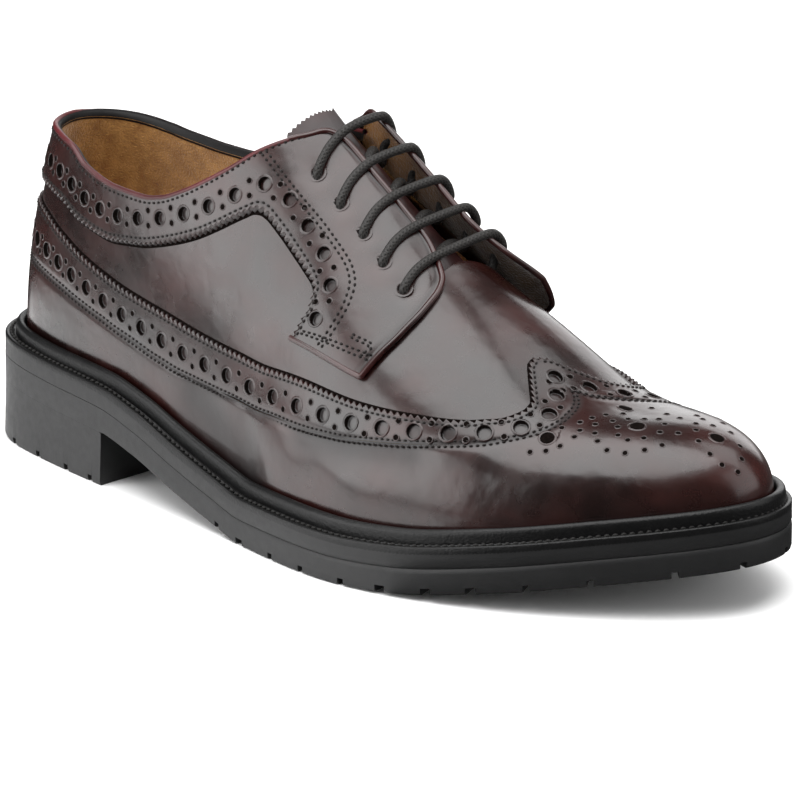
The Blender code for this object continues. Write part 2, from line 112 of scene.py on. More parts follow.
def steady(rows, column, where):
    """Monotone cubic through a column of a table, so flat rows stay flat."""
    table = np.array(rows, float)
    knots = table[:, 0]
    values = table[:, column]
    steps = np.diff(knots)
    slopes = np.diff(values) / steps
    first = 2 * steps[1:] + steps[:-1]
    second = steps[1:] + 2 * steps[:-1]
    same = slopes[:-1] * slopes[1:] > 0
    before = np.where(same, slopes[:-1], 1.0)
    after = np.where(same, slopes[1:], 1.0)
    tangents = np.zeros(len(knots))
    tangents[0] = slopes[0]
    tangents[-1] = slopes[-1]
    tangents[1:-1] = np.where(same, (first + second) / (first / before + second / after), 0.0)
    where = np.clip(np.asarray(where, float), knots[0], knots[-1])
    i = np.clip(np.searchsorted(knots, where) - 1, 0, len(knots) - 2)
    t = (where - knots[i]) / steps[i]
    ends = values[i] * (1 + 2 * t) * (1 - t) ** 2 + values[i + 1] * t * t * (3 - 2 * t)
    return ends + steps[i] * t * (1 - t) * (tangents[i] * (1 - t) - tangents[i + 1] * t)


def outline(v):
    """Point of the sole's edge: v runs 0 at the heel, 1 at the toe by the outer side, 2 by the inner side."""
    rounded = [(np.arccos(1 - 2 * (x - SOLE_BACK) / SOLE_LENGTH) / np.pi, a, b) for x, a, b in OUTLINE]
    v = np.asarray(v, float) % 2
    u = np.where(v <= 1, v, 2 - v)
    x = SOLE_BACK + SOLE_LENGTH / 2 * (1 - np.cos(np.pi * u))
    return x, np.where(v <= 1, smooth(rounded, 1, u), smooth(rounded, 2, u))


def inset_outline(v, inset):
    """The sole's edge moved inward by a distance."""
    v = np.asarray(v, float)
    x, y = outline(v)
    ahead_x, ahead_y = outline(v + 1e-4)
    back_x, back_y = outline(v - 1e-4)
    along_x = ahead_x - back_x
    along_y = ahead_y - back_y
    length = np.hypot(along_x, along_y)
    return x - along_y / length * inset, y + along_x / length * inset


def tread(x):
    """Height of the outsole's underside."""
    return steady(TREAD, 1, x)


edge_y = outline(np.linspace(0, 2, 720))[1]
CENTRE = np.array([SOLE_BACK + (SOLE_LENGTH - 0.6) / 2, (edge_y.max() + edge_y.min()) / 2, 0.0])


def sheet(points, flip=False, closed=False, dark=0.0):
    """A grid of points (columns, rows, xyz) as a list of points, its four-sided faces and its darkness."""
    columns, rows = points.shape[:2]
    i = np.arange(columns if closed else columns - 1)[:, None]
    k = np.arange(rows - 1)[None, :]
    here = i * rows + k
    ahead = (i + 1) % columns * rows + k
    faces = np.stack([here, ahead, ahead + 1, here + 1], axis=-1).reshape(-1, 4)
    shade = np.broadcast_to(dark, points.shape[:2]).ravel()
    return points.reshape(-1, 3), faces[:, ::-1] if flip else faces, shade


def swept(v, section):
    """A section of (inset, height over the tread) rows carried round the sole's edge."""
    base = tread(outline(v)[0])
    levels = [np.stack([*inset_outline(v, inset), base + height], axis=-1) for inset, height in section]
    return np.stack(levels, axis=1)


def closed_plate(outer, inner, rungs=2):
    """Two side walls, with rungs between their lowest and between their highest rows."""
    across = np.linspace(0, 1, rungs)[:, None]
    parts = [sheet(outer), sheet(inner, flip=True)]
    for level, flip in ((0, True), (-1, False)):
        parts.append(sheet(outer[:, level, None] * (1 - across) + inner[:, level, None] * across, flip=flip))
    return parts


def plate(v, section, rungs=2):
    """A section carried round both halves of the sole's edge and closed."""
    return closed_plate(swept(v, section), swept(2 - v, section), rungs)


def make(name, sheets, material, slot, *nodes, sharp=None, pit=None, braid=None):
    """One piece from its sheets, welded where they meet, riding on the shoe.

    Its darkest faces get the pit's finish, and a cord gets its own UV map.
    """
    starts = np.cumsum([0] + [len(part[0]) for part in sheets[:-1]])
    points = np.concatenate([part[0] for part in sheets])
    faces = np.concatenate([part[1] + start for part, start in zip(sheets, starts)])
    mesh = bpy.data.meshes.new(name)
    mesh.from_pydata(((points - CENTRE) * MM).tolist(), [], faces.tolist())
    shade = mesh.attributes.new("dark", "FLOAT", "POINT")
    shades = np.concatenate([part[2] for part in sheets])
    shade.data.foreach_set("value", shades.astype(np.float32))
    mesh.materials.append(material)
    if pit:
        mesh.materials.append(pit)
        in_pit = shades[faces].min(axis=1) > PIT_DARK
        mesh.polygons.foreach_set("material_index", in_pit.astype(np.int32))
    if braid is not None:
        mesh.uv_layers.new(name="braid").data.foreach_set("uv", braid[faces].astype(np.float32).ravel())
    shape = bmesh.new()
    shape.from_mesh(mesh)
    bmesh.ops.remove_doubles(shape, verts=shape.verts, dist=WELD)
    shape.to_mesh(mesh)
    shape.free()
    mesh.shade_smooth()
    if sharp:
        mesh.set_sharp_from_angle(angle=np.radians(sharp))
    piece = bpy.data.objects.new(name, mesh)
    bpy.context.scene.collection.objects.link(piece)
    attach(piece, "root")
    if nodes:
        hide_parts(*nodes)


def finish(name, colour, roughness, **constants):
    """A new finish: its node tree and its shader, with the constant values set on the sockets."""
    material = bpy.data.materials.new(name)
    material.use_nodes = True
    tree = material.node_tree
    shader = tree.nodes["Principled BSDF"]
    shader.inputs["Base Color"].default_value = (*colour, 1.0)
    shader.inputs["Roughness"].default_value = roughness
    for socket, value in constants.items():
        shader.inputs[socket.replace("_", " ")].default_value = value
    return material, tree, shader


def add(tree, kind, links=(), **values):
    """A node with values on its sockets or settings, and links (socket, output of another node)."""
    node = tree.nodes.new(kind)
    for key, value in values.items():
        if hasattr(node, key):
            setattr(node, key, value)
        else:
            node.inputs[key.replace("_", " ")].default_value = value
    for socket, source in links:
        tree.links.new(source, node.inputs[socket])
    return node


def grain(tree, size, detail=3.0, stretch=(1.0, 1.0, 1.0)):
    """Noise in the shoe's own space, its size in millimetres, wider along the stretched axes."""
    place = add(tree, "ShaderNodeTexCoord")
    scaled = add(tree, "ShaderNodeMapping", [("Vector", place.outputs["Object"])])
    scaled.inputs["Scale"].default_value = [1000.0 / size / wide for wide in stretch]
    noise = add(tree, "ShaderNodeTexNoise", [("Vector", scaled.outputs[0])], Scale=1.0, Detail=detail)
    return noise.outputs["Fac"]


def spread(tree, source, low, high, from_low=0.3, from_high=0.7):
    """The source's range stretched to low..high."""
    ranged = add(tree, "ShaderNodeMapRange", [("Value", source)])
    for socket, value in zip(ranged.inputs[1:5], (from_low, from_high, low, high)):
        socket.default_value = value
    return ranged.outputs[0]


def blend(tree, share, first, second):
    """Mix of two colours, each a value or another node's output."""
    mix = add(tree, "ShaderNodeMix", data_type="RGBA")
    tree.links.new(share, mix.inputs["Factor"])
    for socket, colour in ((mix.inputs[6], first), (mix.inputs[7], second)):
        if isinstance(colour, tuple):
            socket.default_value = (*colour, 1.0)
        else:
            tree.links.new(colour, socket)
    return mix.outputs[2]


def bumps(tree, shader, *layers):
    """Bump layers (height source, depth in mm), one over the other."""
    normal = None
    for height, depth in layers:
        layer = add(tree, "ShaderNodeBump", [("Height", height)], Distance=depth * MM)
        if normal:
            tree.links.new(normal, layer.inputs["Normal"])
        normal = layer.outputs[0]
    tree.links.new(normal, shader.inputs["Normal"])


def suede(name, deep, pale):
    """Napped lining leather: cloudy colour, soft fibres, no gloss, darkened where painted shade is marked."""
    material, tree, shader = finish(
        name, pale, 0.95, Sheen_Weight=0.35, Sheen_Roughness=0.5, Specular_IOR_Level=0.1
    )
    cloud = spread(tree, grain(tree, 5.0, 5.0), 0.3, 0.85, 0.35, 0.65)
    nap = spread(tree, grain(tree, 0.9, 5.0), 0.0, 1.0)
    clouded = blend(tree, cloud, deep, pale)
    dusted = blend(tree, spread(tree, nap, 0.0, 0.4, 0.0, 1.0), clouded, deep)
    # the dark attribute carries painted shade: the facings' lining darker toward the throat's lower end
    shade_and_wear = add(tree, "ShaderNodeAttribute", attribute_name="dark").outputs["Fac"]
    tree.links.new(blend(tree, shade_and_wear, dusted, (0.006, 0.004, 0.002)), shader.inputs["Base Color"])
    bumps(tree, shader, (grain(tree, 0.7, 5.0), 0.5))
    return material


tan_suede = suede("tan_suede", (0.20, 0.083, 0.017), (0.50, 0.26, 0.075))

insole_v = np.linspace(0, 1, 70)
insole_inset = steady(INSET, 1, outline(insole_v)[0]) + WALL + INSOLE_GAP
insole_section = [
    (insole_inset, INSOLE_FOOT),
    (insole_inset, INSOLE_TOP - BEVEL_DOWN),
    (insole_inset + BEVEL_IN, INSOLE_TOP),
]
make("insole_sock", plate(insole_v, insole_section, 14), tan_suede, "insole", "insole", sharp=50)

# Lining
# Tan suede cut like the quarters and vamp and glued inside the wall, up to the rolled topline.
# It shows inside the collar and the throat.
HEEL_CENTRE = 44.0
TOE_CENTRE = 262.0
CENTRE_SOFT = 26.0
HEEL_LEAN = 3.3
UPPER_FOOT = 15.3
# x, y of the crest, height of the crest
CREST = [
    (44.0, -4.0, 168.0),
    (80.0, -2.8, 158.0),
    (110.0, -1.5, 147.0),
    (130.0, -0.4, 134.0),
    (145.0, 0.4, 122.0),
    (165.0, 0.4, 105.5),
    (186.0, -0.4, 88.5),
    (207.0, -1.4, 76.8),
    (225.0, -2.0, 66.0),
    (243.0, -1.2, 55.2),
    (262.0, 1.5, 51.8),
]
# x, outer width power, inner width power, height power
SECTION = [
    (44.0, 1.3, 1.3, 1.0),
    (90.0, 1.3, 1.3, 1.0),
    (140.0, 1.25, 1.25, 1.0),
    (186.0, 1.15, 0.95, 0.95),
    (225.0, 1.0, 0.88, 0.9),
    (262.0, 0.85, 0.72, 0.87),
]
# the collar from the heel to the throat: station and share of its rim, share of the inner rim, which is a
# straighter line, then station and share of the pinked edge of the band round it
COLLAR = [
    (0.0, 0.350, 0.350, 0.0, 0.252),
    (0.10, 0.350, 0.348, 0.095, 0.253),
    (0.18, 0.350, 0.344, 0.175, 0.252),
    (0.232, 0.345, 0.338, 0.226, 0.245),
    (0.265, 0.321, 0.335, 0.262, 0.226),
    (0.30, 0.313, 0.338, 0.30, 0.220),
    (0.339, 0.325, 0.354, 0.339, 0.240),
    (0.363, 0.349, 0.379, 0.361, 0.263),
    (0.383, 0.387, 0.408, 0.382, 0.294),
    (0.404, 0.443, 0.449, 0.402, 0.333),
    (0.423, 0.511, 0.511, 0.419, 0.377),
    (0.438, 0.585, 0.585, 0.431, 0.415),
]
# station at the welt, station of the top edge, share of its height: collar, throat, then the vamp's crest
TOP = [(station, station, share) for station, share, *_ in COLLAR]
TOP += [
    (0.450, 0.450, 0.630),
    (0.465, 0.465, 0.640),
    (0.50, 0.50, 0.632),
    (0.545, 0.545, 0.630),
    (0.566, 0.566, 0.635),
    (0.578, 0.577, 0.665),
    (0.586, 0.579, 0.740),
    (0.593, 0.575, 0.860),
    (0.598, 0.572, 1.0),
    (0.62, 0.588, 1.0),
    (0.68, 0.622, 0.985),
    (0.75, 0.657, 0.915),
]
# station at the welt where the collar ends, and where the throat's front end meets the crest
COLLAR_END = COLLAR[-1][0]
THROAT_END = 0.598
# how far below the throat's edge the lining ends, as a share
LINING_SHORT = 0.06


def over_zero(value, soft):
    """The value where positive, else zero, rounded off over the soft range."""
    return np.where(value < -soft, 0.0, np.where(value > soft, value, (value + soft) ** 2 / (4 * soft)))


def skin(u, q, swell=0.0):
    """Point of the last, by station u and share q.

    u runs from heel to toe, q from 0 at the outer welt over 1 on the crest to 2 at the inner welt.
    Width falls from the sole's outline to the crest as a power of the cosine of q, height rises as a power
    of the sine. Swell moves the surface outward.
    """
    u, q, swell = np.broadcast_arrays(np.asarray(u, float), np.asarray(q, float), np.asarray(swell, float))
    v = np.where(q > 1, 2 - u, u)
    q = np.where(q > 1, 2 - q, q)
    x = outline(v)[0]
    foot_x, foot_y = inset_outline(v, steady(INSET, 1, x) - swell)
    crest_x = x + over_zero(HEEL_CENTRE - x, CENTRE_SOFT) - over_zero(x - TOE_CENTRE, CENTRE_SOFT)
    crest_y = smooth(CREST, 1, crest_x)
    foot_z = tread(x) + UPPER_FOOT
    crest_z = smooth(CREST, 2, crest_x) + swell
    # round the toe the outer side's width power passes into the inner side's
    over = np.clip((v - 0.88) / 0.24, 0, 1)
    over = over * over * (3 - 2 * over)
    power = steady(SECTION, 1, crest_x) * (1 - over) + steady(SECTION, 2, crest_x) * over
    back = np.clip((HEEL_CENTRE - x) / HEEL_CENTRE, 0, 1)
    power = power + (HEEL_LEAN - power) * back**2 * (3 - 2 * back)
    turn = np.clip(q, 0, 1) * np.pi / 2
    width = np.where(q >= 1, 0.0, np.abs(np.cos(turn)) ** power)
    height = np.sin(turn) ** steady(SECTION, 3, crest_x)
    return np.stack(
        [
            crest_x + (foot_x - crest_x) * width,
            crest_y + (foot_y - crest_y) * width,
            foot_z + (crest_z - foot_z) * height,
        ],
        axis=-1,
    )


def lift(u):
    """How much higher the inner collar stands than the outer one, as a share."""
    u = np.asarray(u, float)
    return np.where(u < COLLAR_END, steady(COLLAR, 2, u) - steady(TOP, 2, u), 0.0)


def top_edge(at, inner):
    """Station and share of the upper's top edge, on the outer or the inner side."""
    u = steady(TOP, 1, at)
    q = steady(TOP, 2, at)
    return (u, np.where(at < THROAT_END, 2 - q - lift(u), q)) if inner else (u, q)


lining_sheets = []
for inner in (False, True):
    at = np.concatenate([np.linspace(0, THROAT_END, 130), np.linspace(0.61, 1, 40)])
    top_u, top_q = top_edge(at, inner)
    top_u = np.where(at > THROAT_END, at, top_u)
    top_q = np.where(at > THROAT_END, 1.0, top_q)
    short = LINING_SHORT * np.clip((at - 0.44) / 0.02, 0, 1) * (at < 0.6)
    share = np.linspace(0, 1, 26) * (1 - short)[:, None]
    foot_q = 2.0 if inner else 0.0
    u = at[:, None] + (top_u - at)[:, None] * share
    q = foot_q + (top_q - foot_q)[:, None] * share
    lining_sheets.append(sheet(skin(u, q, -WALL), flip=not inner))
make("lining", lining_sheets, tan_suede, "insole")

# Vamp and quarters
# Polished burgundy leather cut in a vamp and two quarters, closed over the last as one wall.
# The quarters tuck under the collar band, the vamp under the longwing.
# station at the welt, station and share of the longwing's edge, the same of its lower stitch rows
WING_OUTER = [
    (0.0, 0.0, 0.222, 0.0, 0.126),
    (0.10, 0.10, 0.222, 0.098, 0.125),
    (0.178, 0.179, 0.214, 0.172, 0.119),
    (0.229, 0.229, 0.194, 0.227, 0.110),
    (0.267, 0.265, 0.176, 0.265, 0.099),
    (0.30, 0.299, 0.164, 0.299, 0.090),
    (0.33, 0.329, 0.158, 0.328, 0.083),
    (0.358, 0.358, 0.162, 0.357, 0.083),
    (0.385, 0.385, 0.171, 0.384, 0.089),
    (0.412, 0.413, 0.184, 0.412, 0.104),
    (0.438, 0.438, 0.200, 0.438, 0.120),
    (0.466, 0.462, 0.220, 0.464, 0.139),
    (0.497, 0.490, 0.246, 0.494, 0.159),
    (0.528, 0.517, 0.273, 0.523, 0.175),
    (0.563, 0.549, 0.305, 0.557, 0.207),
    (0.595, 0.577, 0.335, 0.586, 0.241),
    (0.632, 0.611, 0.375, 0.620, 0.285),
    (0.668, 0.641, 0.431, 0.653, 0.357),
    (0.690, 0.658, 0.485, 0.675, 0.431),
    (0.705, 0.668, 0.535, 0.689, 0.503),
    (0.715, 0.677, 0.590, 0.700, 0.570),
    (0.723, 0.682, 0.650, 0.708, 0.628),
    (0.729, 0.684, 0.700, 0.7125, 0.690),
    (0.734, 0.683, 0.742, 0.714, 0.745),
    (0.738, 0.678, 0.775, 0.7125, 0.800),
    (0.741, 0.672, 0.808, 0.710, 0.850),
    (0.744, 0.665, 0.846, 0.705, 0.895),
    (0.747, 0.659, 0.880, 0.698, 0.930),
    (0.75, 0.657, 0.915, 0.690, 0.952),
]
# the inner side's own rows in front of the waist; behind it the inner side mirrors the outer one
WING_INNER = [
    (0.632, 0.609, 1.622, 0.622, 1.705),
    (0.662, 0.634, 1.560, 0.652, 1.640),
    (0.686, 0.651, 1.505, 0.684, 1.585),
    (0.700, 0.667, 1.460, 0.706, 1.520),
    (0.711, 0.680, 1.420, 0.722, 1.455),
    (0.719, 0.689, 1.365, 0.734, 1.385),
    (0.726, 0.6935, 1.290, 0.740, 1.300),
    (0.731, 0.694, 1.215, 0.740, 1.210),
    (0.735, 0.691, 1.155, 0.734, 1.140),
    (0.738, 0.686, 1.105, 0.727, 1.088),
    (0.741, 0.678, 1.060, 0.718, 1.050),
    (0.744, 0.669, 1.014, 0.709, 1.015),
    (0.747, 0.661, 0.978, 0.700, 0.985),
    (0.75, 0.657, 0.915, 0.690, 0.952),
]
WING_PEAK = 0.75
WAIST = 0.61
WING_TABLES = (
    WING_OUTER,
    [(s, a, 2 - b, c, 2 - d) for s, a, b, c, d in WING_OUTER if s < WAIST] + WING_INNER,
)
# how far the vamp reaches under the longwing, as a share of the way from its edge to its lower rows
UNDERLAP = 0.25
# deep colour, red colour, roughness, weight of the waxed coat
BURGUNDY = ((0.006, 0.0018, 0.0014), (0.026, 0.0048, 0.0036), 0.27, 0.4)
# darkest shade of the leather outside its holes
DARKEST = 0.78


def calculate(tree, operation, *sources):
    """A math node over plain values and other nodes' outputs."""
    node = add(tree, "ShaderNodeMath", operation=operation)
    for socket, source in zip(node.inputs, sources):
        if isinstance(source, float):
            socket.default_value = source
        else:
            tree.links.new(source, socket)
    return node.outputs[0]


def burgundy(name, deep, red, roughness, gloss):
    """Polished leather: cloudy burgundy, darkened at burnished cut edges and by painted shade in holes, along
    seams and creases and under pinked edges, fine pores, a waxed coat.
    """
    material, tree, shader = finish(
        name, red, roughness, Coat_Weight=gloss, Coat_Roughness=0.14, Specular_IOR_Level=0.5
    )
    cloud = spread(tree, grain(tree, 28.0), 0.0, 1.0, 0.35, 0.65)
    streak = spread(tree, grain(tree, 5.0, 4.0, (3.0, 3.0, 1.0)), 0.0, 0.5)
    polished = blend(tree, streak, blend(tree, cloud, deep, red), deep)
    # the dark attribute: burnished cut edges, and painted shade in holes, seams, creases and under pinked
    # edges; it also dulls the leather
    shade_and_wear = add(tree, "ShaderNodeAttribute", attribute_name="dark").outputs["Fac"]
    tree.links.new(blend(tree, shade_and_wear, polished, (0.004, 0.0025, 0.0025)), shader.inputs["Base Color"])
    patchy = spread(tree, grain(tree, 14.0, 4.0), roughness - 0.05, roughness + 0.07)
    dulled = calculate(tree, "ADD", patchy, spread(tree, shade_and_wear, 0.0, 0.4, 0.0, 1.0))
    tree.links.new(dulled, shader.inputs["Roughness"])
    pores = grain(tree, 0.45, 2.0)
    waves = grain(tree, 9.0, 2.0)
    bumps(tree, shader, (waves, 0.35), (pores, 0.02))
    return material


upper_leather = burgundy("polished_burgundy", *BURGUNDY)


def wing(at, inner):
    """The longwing's edge and its lower rows: of each, a column of stations and one of shares."""
    columns = [steady(WING_TABLES[inner], column, at) for column in (1, 2, 3, 4)]
    return np.reshape(columns, (2, 2, -1, 1))


def toward(first, second, share):
    """Stations and shares part of the way from one line to another."""
    return first + (second - first) * share


def apart(first, second, swell=0.0):
    """Distance in mm between two lines of stations and shares."""
    return np.linalg.norm(skin(*first, swell) - skin(*second, swell), axis=-1)


def shade_black_finish(name, colour):
    """Painted shade inside holes and eyelets and under pinked edges: black, fibrous, no gloss."""
    material, tree, shader = finish(name, colour, 0.95, Specular_IOR_Level=0.02)
    fibres = spread(tree, grain(tree, 0.8), 0.0, 1.0)
    deep = tuple(0.4 * part for part in colour)
    tree.links.new(blend(tree, fibres, colour, deep), shader.inputs["Base Color"])
    bumps(tree, shader, (grain(tree, 0.4), 0.05))
    return material


# second finish of the darkest faces: painted shade, black, in holes, eyelets and under pinked edges
painted_shade_black = shade_black_finish("painted_shade_black", (0.006, 0.004, 0.0035))


def shadow_strip(edge, beneath, width):
    """A black strip of painted shadow under a pinked edge: from just outside it to well beneath it, its rims
    sunk.
    """
    away = np.array([-0.75, -0.4, 1.9, 2.3]) / width
    return skin(*toward(edge, beneath, away), np.array([-0.15, 0.1, 0.1, -0.15]))


vamp_sheets = []
for inner in (False, True):
    at = np.concatenate([np.linspace(0, 0.55, 120), np.linspace(0.553, WING_PEAK, 130)])
    top = np.array(top_edge(at, inner))[..., None]
    edge, row = wing(at, inner)
    low = toward(edge, row, UNDERLAP)
    vamp_sheets.append(sheet(skin(*toward(low, top, np.linspace(0, 1, 40))), flip=inner))
    # painted shadow: a black strip on the vamp under the longwing's pinked edge, showing in its notches
    shadow_under_wing = shadow_strip(edge, row, apart(edge, row))
    vamp_sheets.append(sheet(shadow_under_wing, flip=not inner, dark=1.0))
make("vamp_and_quarters", vamp_sheets, upper_leather, "upper", "upper", pit=painted_shade_black)

# Longwing
# A second layer of the same leather round the whole shoe, from the welt to a pinked edge with a peak on
# the vamp. Two stitch rows below a band of punched holes and one row along the edge hold it down.
WING_STEP = 1.2
TOOTH_PITCH = 2.3
TOOTH_DEPTH = 1.35
HOLE_RADIUS = 2.3
# row of large holes: share of the way from the pinked edge to the lower stitch rows
HOLE_SHARE = 0.58
# its pitch in mm at runs from the middle of the heel: close round the heel, wide along the side, and close
# at the peak on the outer side
HOLE_PITCH = [(0, 8.2), (45, 8.2), (70, 10.1), (120, 11.2), (175, 12.0), (210, 11.0), (245, 11.0), (272, 7.6)]
# leather cut away round a hole, beyond its radius, for the flange to cover
HOLE_MARGIN = 0.3
# stitch rows in mm: distance from the pinked edge, half the distance of the two lower rows
EDGE_ROW = 2.2
ROW_APART = 0.95
# groove along the two lower rows, darkened by painted shade and dirt: depth and reach in mm, darkness and
# reach in mm
ROW_GROOVE, GROOVE_REACH = 0.4, 1.5
ROW_DARK, DARK_REACH = 0.7, 1.4
# burnished rim of a pinked edge: width in mm and darkness; painted shade and dirt along the stitch row inside
# it: the same
RIM_WIDTH, RIM_DARK = 0.35, 0.75
LINE_WIDTH, LINE_DARK = 0.5, 0.6


def spaced(places, swell, pitch):
    """Places along a line, from its start to its end, with a pitch that changes along it.

    The count of holes grows by step over pitch, and is stretched so that the last hole is at the end.
    """
    step = np.linalg.norm(np.diff(skin(*places, swell), axis=0), axis=1)
    count = np.concatenate([[0], np.cumsum(step / np.interp(np.cumsum(step), *np.transpose(pitch)))])
    whole = np.linspace(0, count[-1], 1 + round(count[-1]))
    return list(zip(*[np.interp(whole, count, part) for part in places]))


wing_rows = []
for inner in (False, True):
    edge, row = wing(np.linspace(0, WING_PEAK, 1500), inner)[..., 0]
    hole_line = toward(edge, row, HOLE_SHARE)
    wing_rows.append(spaced(hole_line, WING_STEP, HOLE_PITCH[:-1] if inner else HOLE_PITCH))
outer_holes = wing_rows[0]
inner_holes = wing_rows[1][-2::-1]
large = outer_holes + inner_holes[:-1]


def run_of(path):
    """Length along a path at each of its points."""
    return np.concatenate([[0], np.cumsum(np.linalg.norm(np.diff(path, axis=0), axis=1))])


def column_of(path, spacing, at):
    """Stations spread evenly along a path, four to a tooth, and the number of teeth."""
    length = run_of(path)
    teeth = int(round(length[-1] / spacing))
    return np.interp(np.linspace(0, length[-1], 4 * teeth + 1), length, at), teeth


def pinked(teeth):
    """How far each column of a pinked edge is cut back, in mm."""
    return np.append(np.tile([0.0, 0.5, 1.0, 0.5], teeth), 0.0)[:, None] * TOOTH_DEPTH


def bell(away, width):
    """One on a line, falling softly to nothing beyond its width."""
    return np.exp(-((away / width) ** 2))


def burnish_and_seam_shade(away):
    """Darkness beside a pinked edge: its burnished cut rim, and painted shade and dirt along the stitch row
    inside it.
    """
    rim = np.clip(1 - away / RIM_WIDTH, 0, 1)
    return rim * RIM_DARK + LINE_DARK * bell(away - EDGE_ROW, LINE_WIDTH)


def cut_out(part, centres, radius):
    """A sheet without the faces whose middle lies within the radius of a hole's centre."""
    points, faces, shade = part
    clear = np.linalg.norm(points[faces].mean(axis=1)[:, None] - centres, axis=-1) - radius
    return points, faces[clear.min(axis=1) > 0], shade


def soft_mark(u, q, marks):
    """Sum of soft troughs and ridges: each is a bell across a line between two places, with soft ends."""
    station_mm, share_mm = 300, 75
    total = np.zeros(np.broadcast(u, q).shape)
    for u0, q0, u1, q1, width, depth in marks:
        a = (u - u0) * station_mm
        b = (q - q0) * share_mm
        along_a = (u1 - u0) * station_mm
        along_b = (q1 - q0) * share_mm
        part = np.clip((a * along_a + b * along_b) / (along_a**2 + along_b**2), 0, 1)
        away = (a - part * along_a) ** 2 + (b - part * along_b) ** 2
        total = total + depth * np.exp(-away / width**2)
    return total


# creases of the lasted wall: from (station, share) to (station, share), half width and depth in mm
CREASES = [
    (0.413, 0.074, 0.472, 0.036, 5.0, -1.4),
    (0.455, 0.110, 0.510, 0.065, 7.0, 0.8),
    (0.528, 0.158, 0.628, 0.255, 4.5, -0.55),
    (0.470, 0.115, 0.488, 0.060, 2.4, -0.3),
    (0.560, 0.150, 0.585, 0.080, 5.0, 0.25),
]
# painted shade along the creases, which also dulls the leather there: the same places, half width in mm and
# darkness
CREASE_SHADE = [
    (0.411, 0.074, 0.475, 0.034, 5.0, 0.75),
    (0.528, 0.165, 0.628, 0.264, 3.5, 0.65),
]

band_share = np.concatenate([[0, 0, 0.012, 0.035], np.linspace(0.07, 1, 17)])
band_drop = np.concatenate([[-WING_STEP - 0.1, -0.3, -0.08, 0.0], np.zeros(17)])
wing_centres = skin(*np.array(large).T, WING_STEP)
wing_sheets = []
for inner in (False, True):
    fine = np.linspace(0, WING_PEAK, 4000)
    at, teeth = column_of(skin(*wing(fine, inner)[0, ..., 0], WING_STEP), TOOTH_PITCH, fine)
    edge, row = wing(at, inner)
    width = apart(edge, row, WING_STEP)
    share = band_share + pinked(teeth) / width * (1 - band_share) ** 4
    away = (1 - share) * width
    # burnished rim, painted shade and dirt along the edge row and along the lower rows' groove
    dark = np.clip(burnish_and_seam_shade(share * width) + ROW_DARK * bell(away, DARK_REACH), 0, DARKEST)
    swell = WING_STEP + band_drop - ROW_GROOVE * bell(away, GROOVE_REACH)
    band = sheet(skin(*toward(edge, row, share), swell), flip=not inner, dark=dark)
    wing_sheets.append(cut_out(band, wing_centres, HOLE_RADIUS + HOLE_MARGIN))
    # below the rows: outward to the welt, and in front of the peak from the crest to the toe
    peak_u, peak_q = WING_OUTER[-1][3:]
    more = np.linspace(WING_PEAK, 1, 70)[1:]
    ahead_u = np.interp(more, [WING_PEAK, 0.86, 1.0], [peak_u, 0.85, 1.0])
    ahead_q = np.interp(more, [WING_PEAK, 0.80, 0.86], [peak_q, 0.985, 1.0])
    start_u, start_q = np.concatenate([row[..., 0], [ahead_u, ahead_q]], axis=1)[..., None]
    foot_u = np.concatenate([at, more])[:, None]
    foot_q = 2.0 if inner else 0.0
    down = np.linspace(0, 1, 30) ** 1.3
    u = toward(foot_u, start_u, (1 - down) ** 2)
    q = toward(start_q, foot_q, down)
    plain = skin(u, q, WING_STEP)
    # in front of the peak only the distance to the peak's own rows counts
    away = np.linalg.norm(plain - plain[:, :1], axis=-1) + 99.0 * (foot_u > WING_PEAK)
    peak = skin(*row[:, at > 0.7], WING_STEP)[::3, 0]
    away = np.minimum(away, np.linalg.norm(plain[:, :, None] - peak, axis=-1).min(axis=2))
    from_welt = 2 - q if inner else q
    # painted shade and dirt along the lower rows' groove, and painted shade in the creases
    dark = np.clip(ROW_DARK * bell(away, DARK_REACH) + soft_mark(u, from_welt, CREASE_SHADE), 0, DARKEST)
    swell = WING_STEP - ROW_GROOVE * bell(away, GROOVE_REACH) + soft_mark(u, from_welt, CREASES)
    lower = sheet(skin(u, q, swell), flip=not inner, dark=dark)
    wing_sheets.append(cut_out(lower, wing_centres, HOLE_RADIUS + HOLE_MARGIN))
make("longwing", wing_sheets, upper_leather, "upper")

SMALL_RADIUS = 0.9
SMALL_ASIDE = 2.5
# stitches of the upper in mm: pitch, length, radius
UPPER_STITCH = (2.0, 1.45, 0.43)
THREAD_RISE = 0.04
THREAD_SINK = 0.12
# medallion of the toe: large holes, then small ones
MEDALLION_LARGE = [(0.718, 0.597), (0.814, 0.832), (0.749, 1.002), (0.989, 1.369)]
MEDALLION_SMALL = [
    (0.721, 0.693), (0.740, 0.647), (0.739, 0.707), (0.730, 0.772), (0.735, 0.836), (0.747, 0.786),
    (0.757, 0.705), (0.767, 0.637), (0.743, 0.898), (0.762, 0.852), (0.778, 0.798), (0.787, 0.711),
    (0.760, 0.956), (0.782, 0.906), (0.804, 0.667), (0.836, 0.938), (0.829, 0.693), (0.956, 0.934),
    (0.868, 0.760), (0.846, 1.060), (0.918, 0.860), (0.916, 0.739), (0.911, 1.108), (0.945, 1.194),
    (0.844, 1.196), (0.995, 0.752), (0.875, 1.216), (0.915, 1.273), (0.861, 1.341), (0.807, 1.397),
    (0.914, 1.387), (0.957, 1.497), (0.992, 1.595), (0.973, 0.311), (0.947, 0.393), (0.939, 0.501),
    (0.944, 0.635), (0.859, 0.617), (0.830, 0.573), (0.805, 0.543), (0.783, 0.563), (0.734, 0.561),
    (0.725, 0.511), (0.713, 0.483), (0.768, 1.064),
]


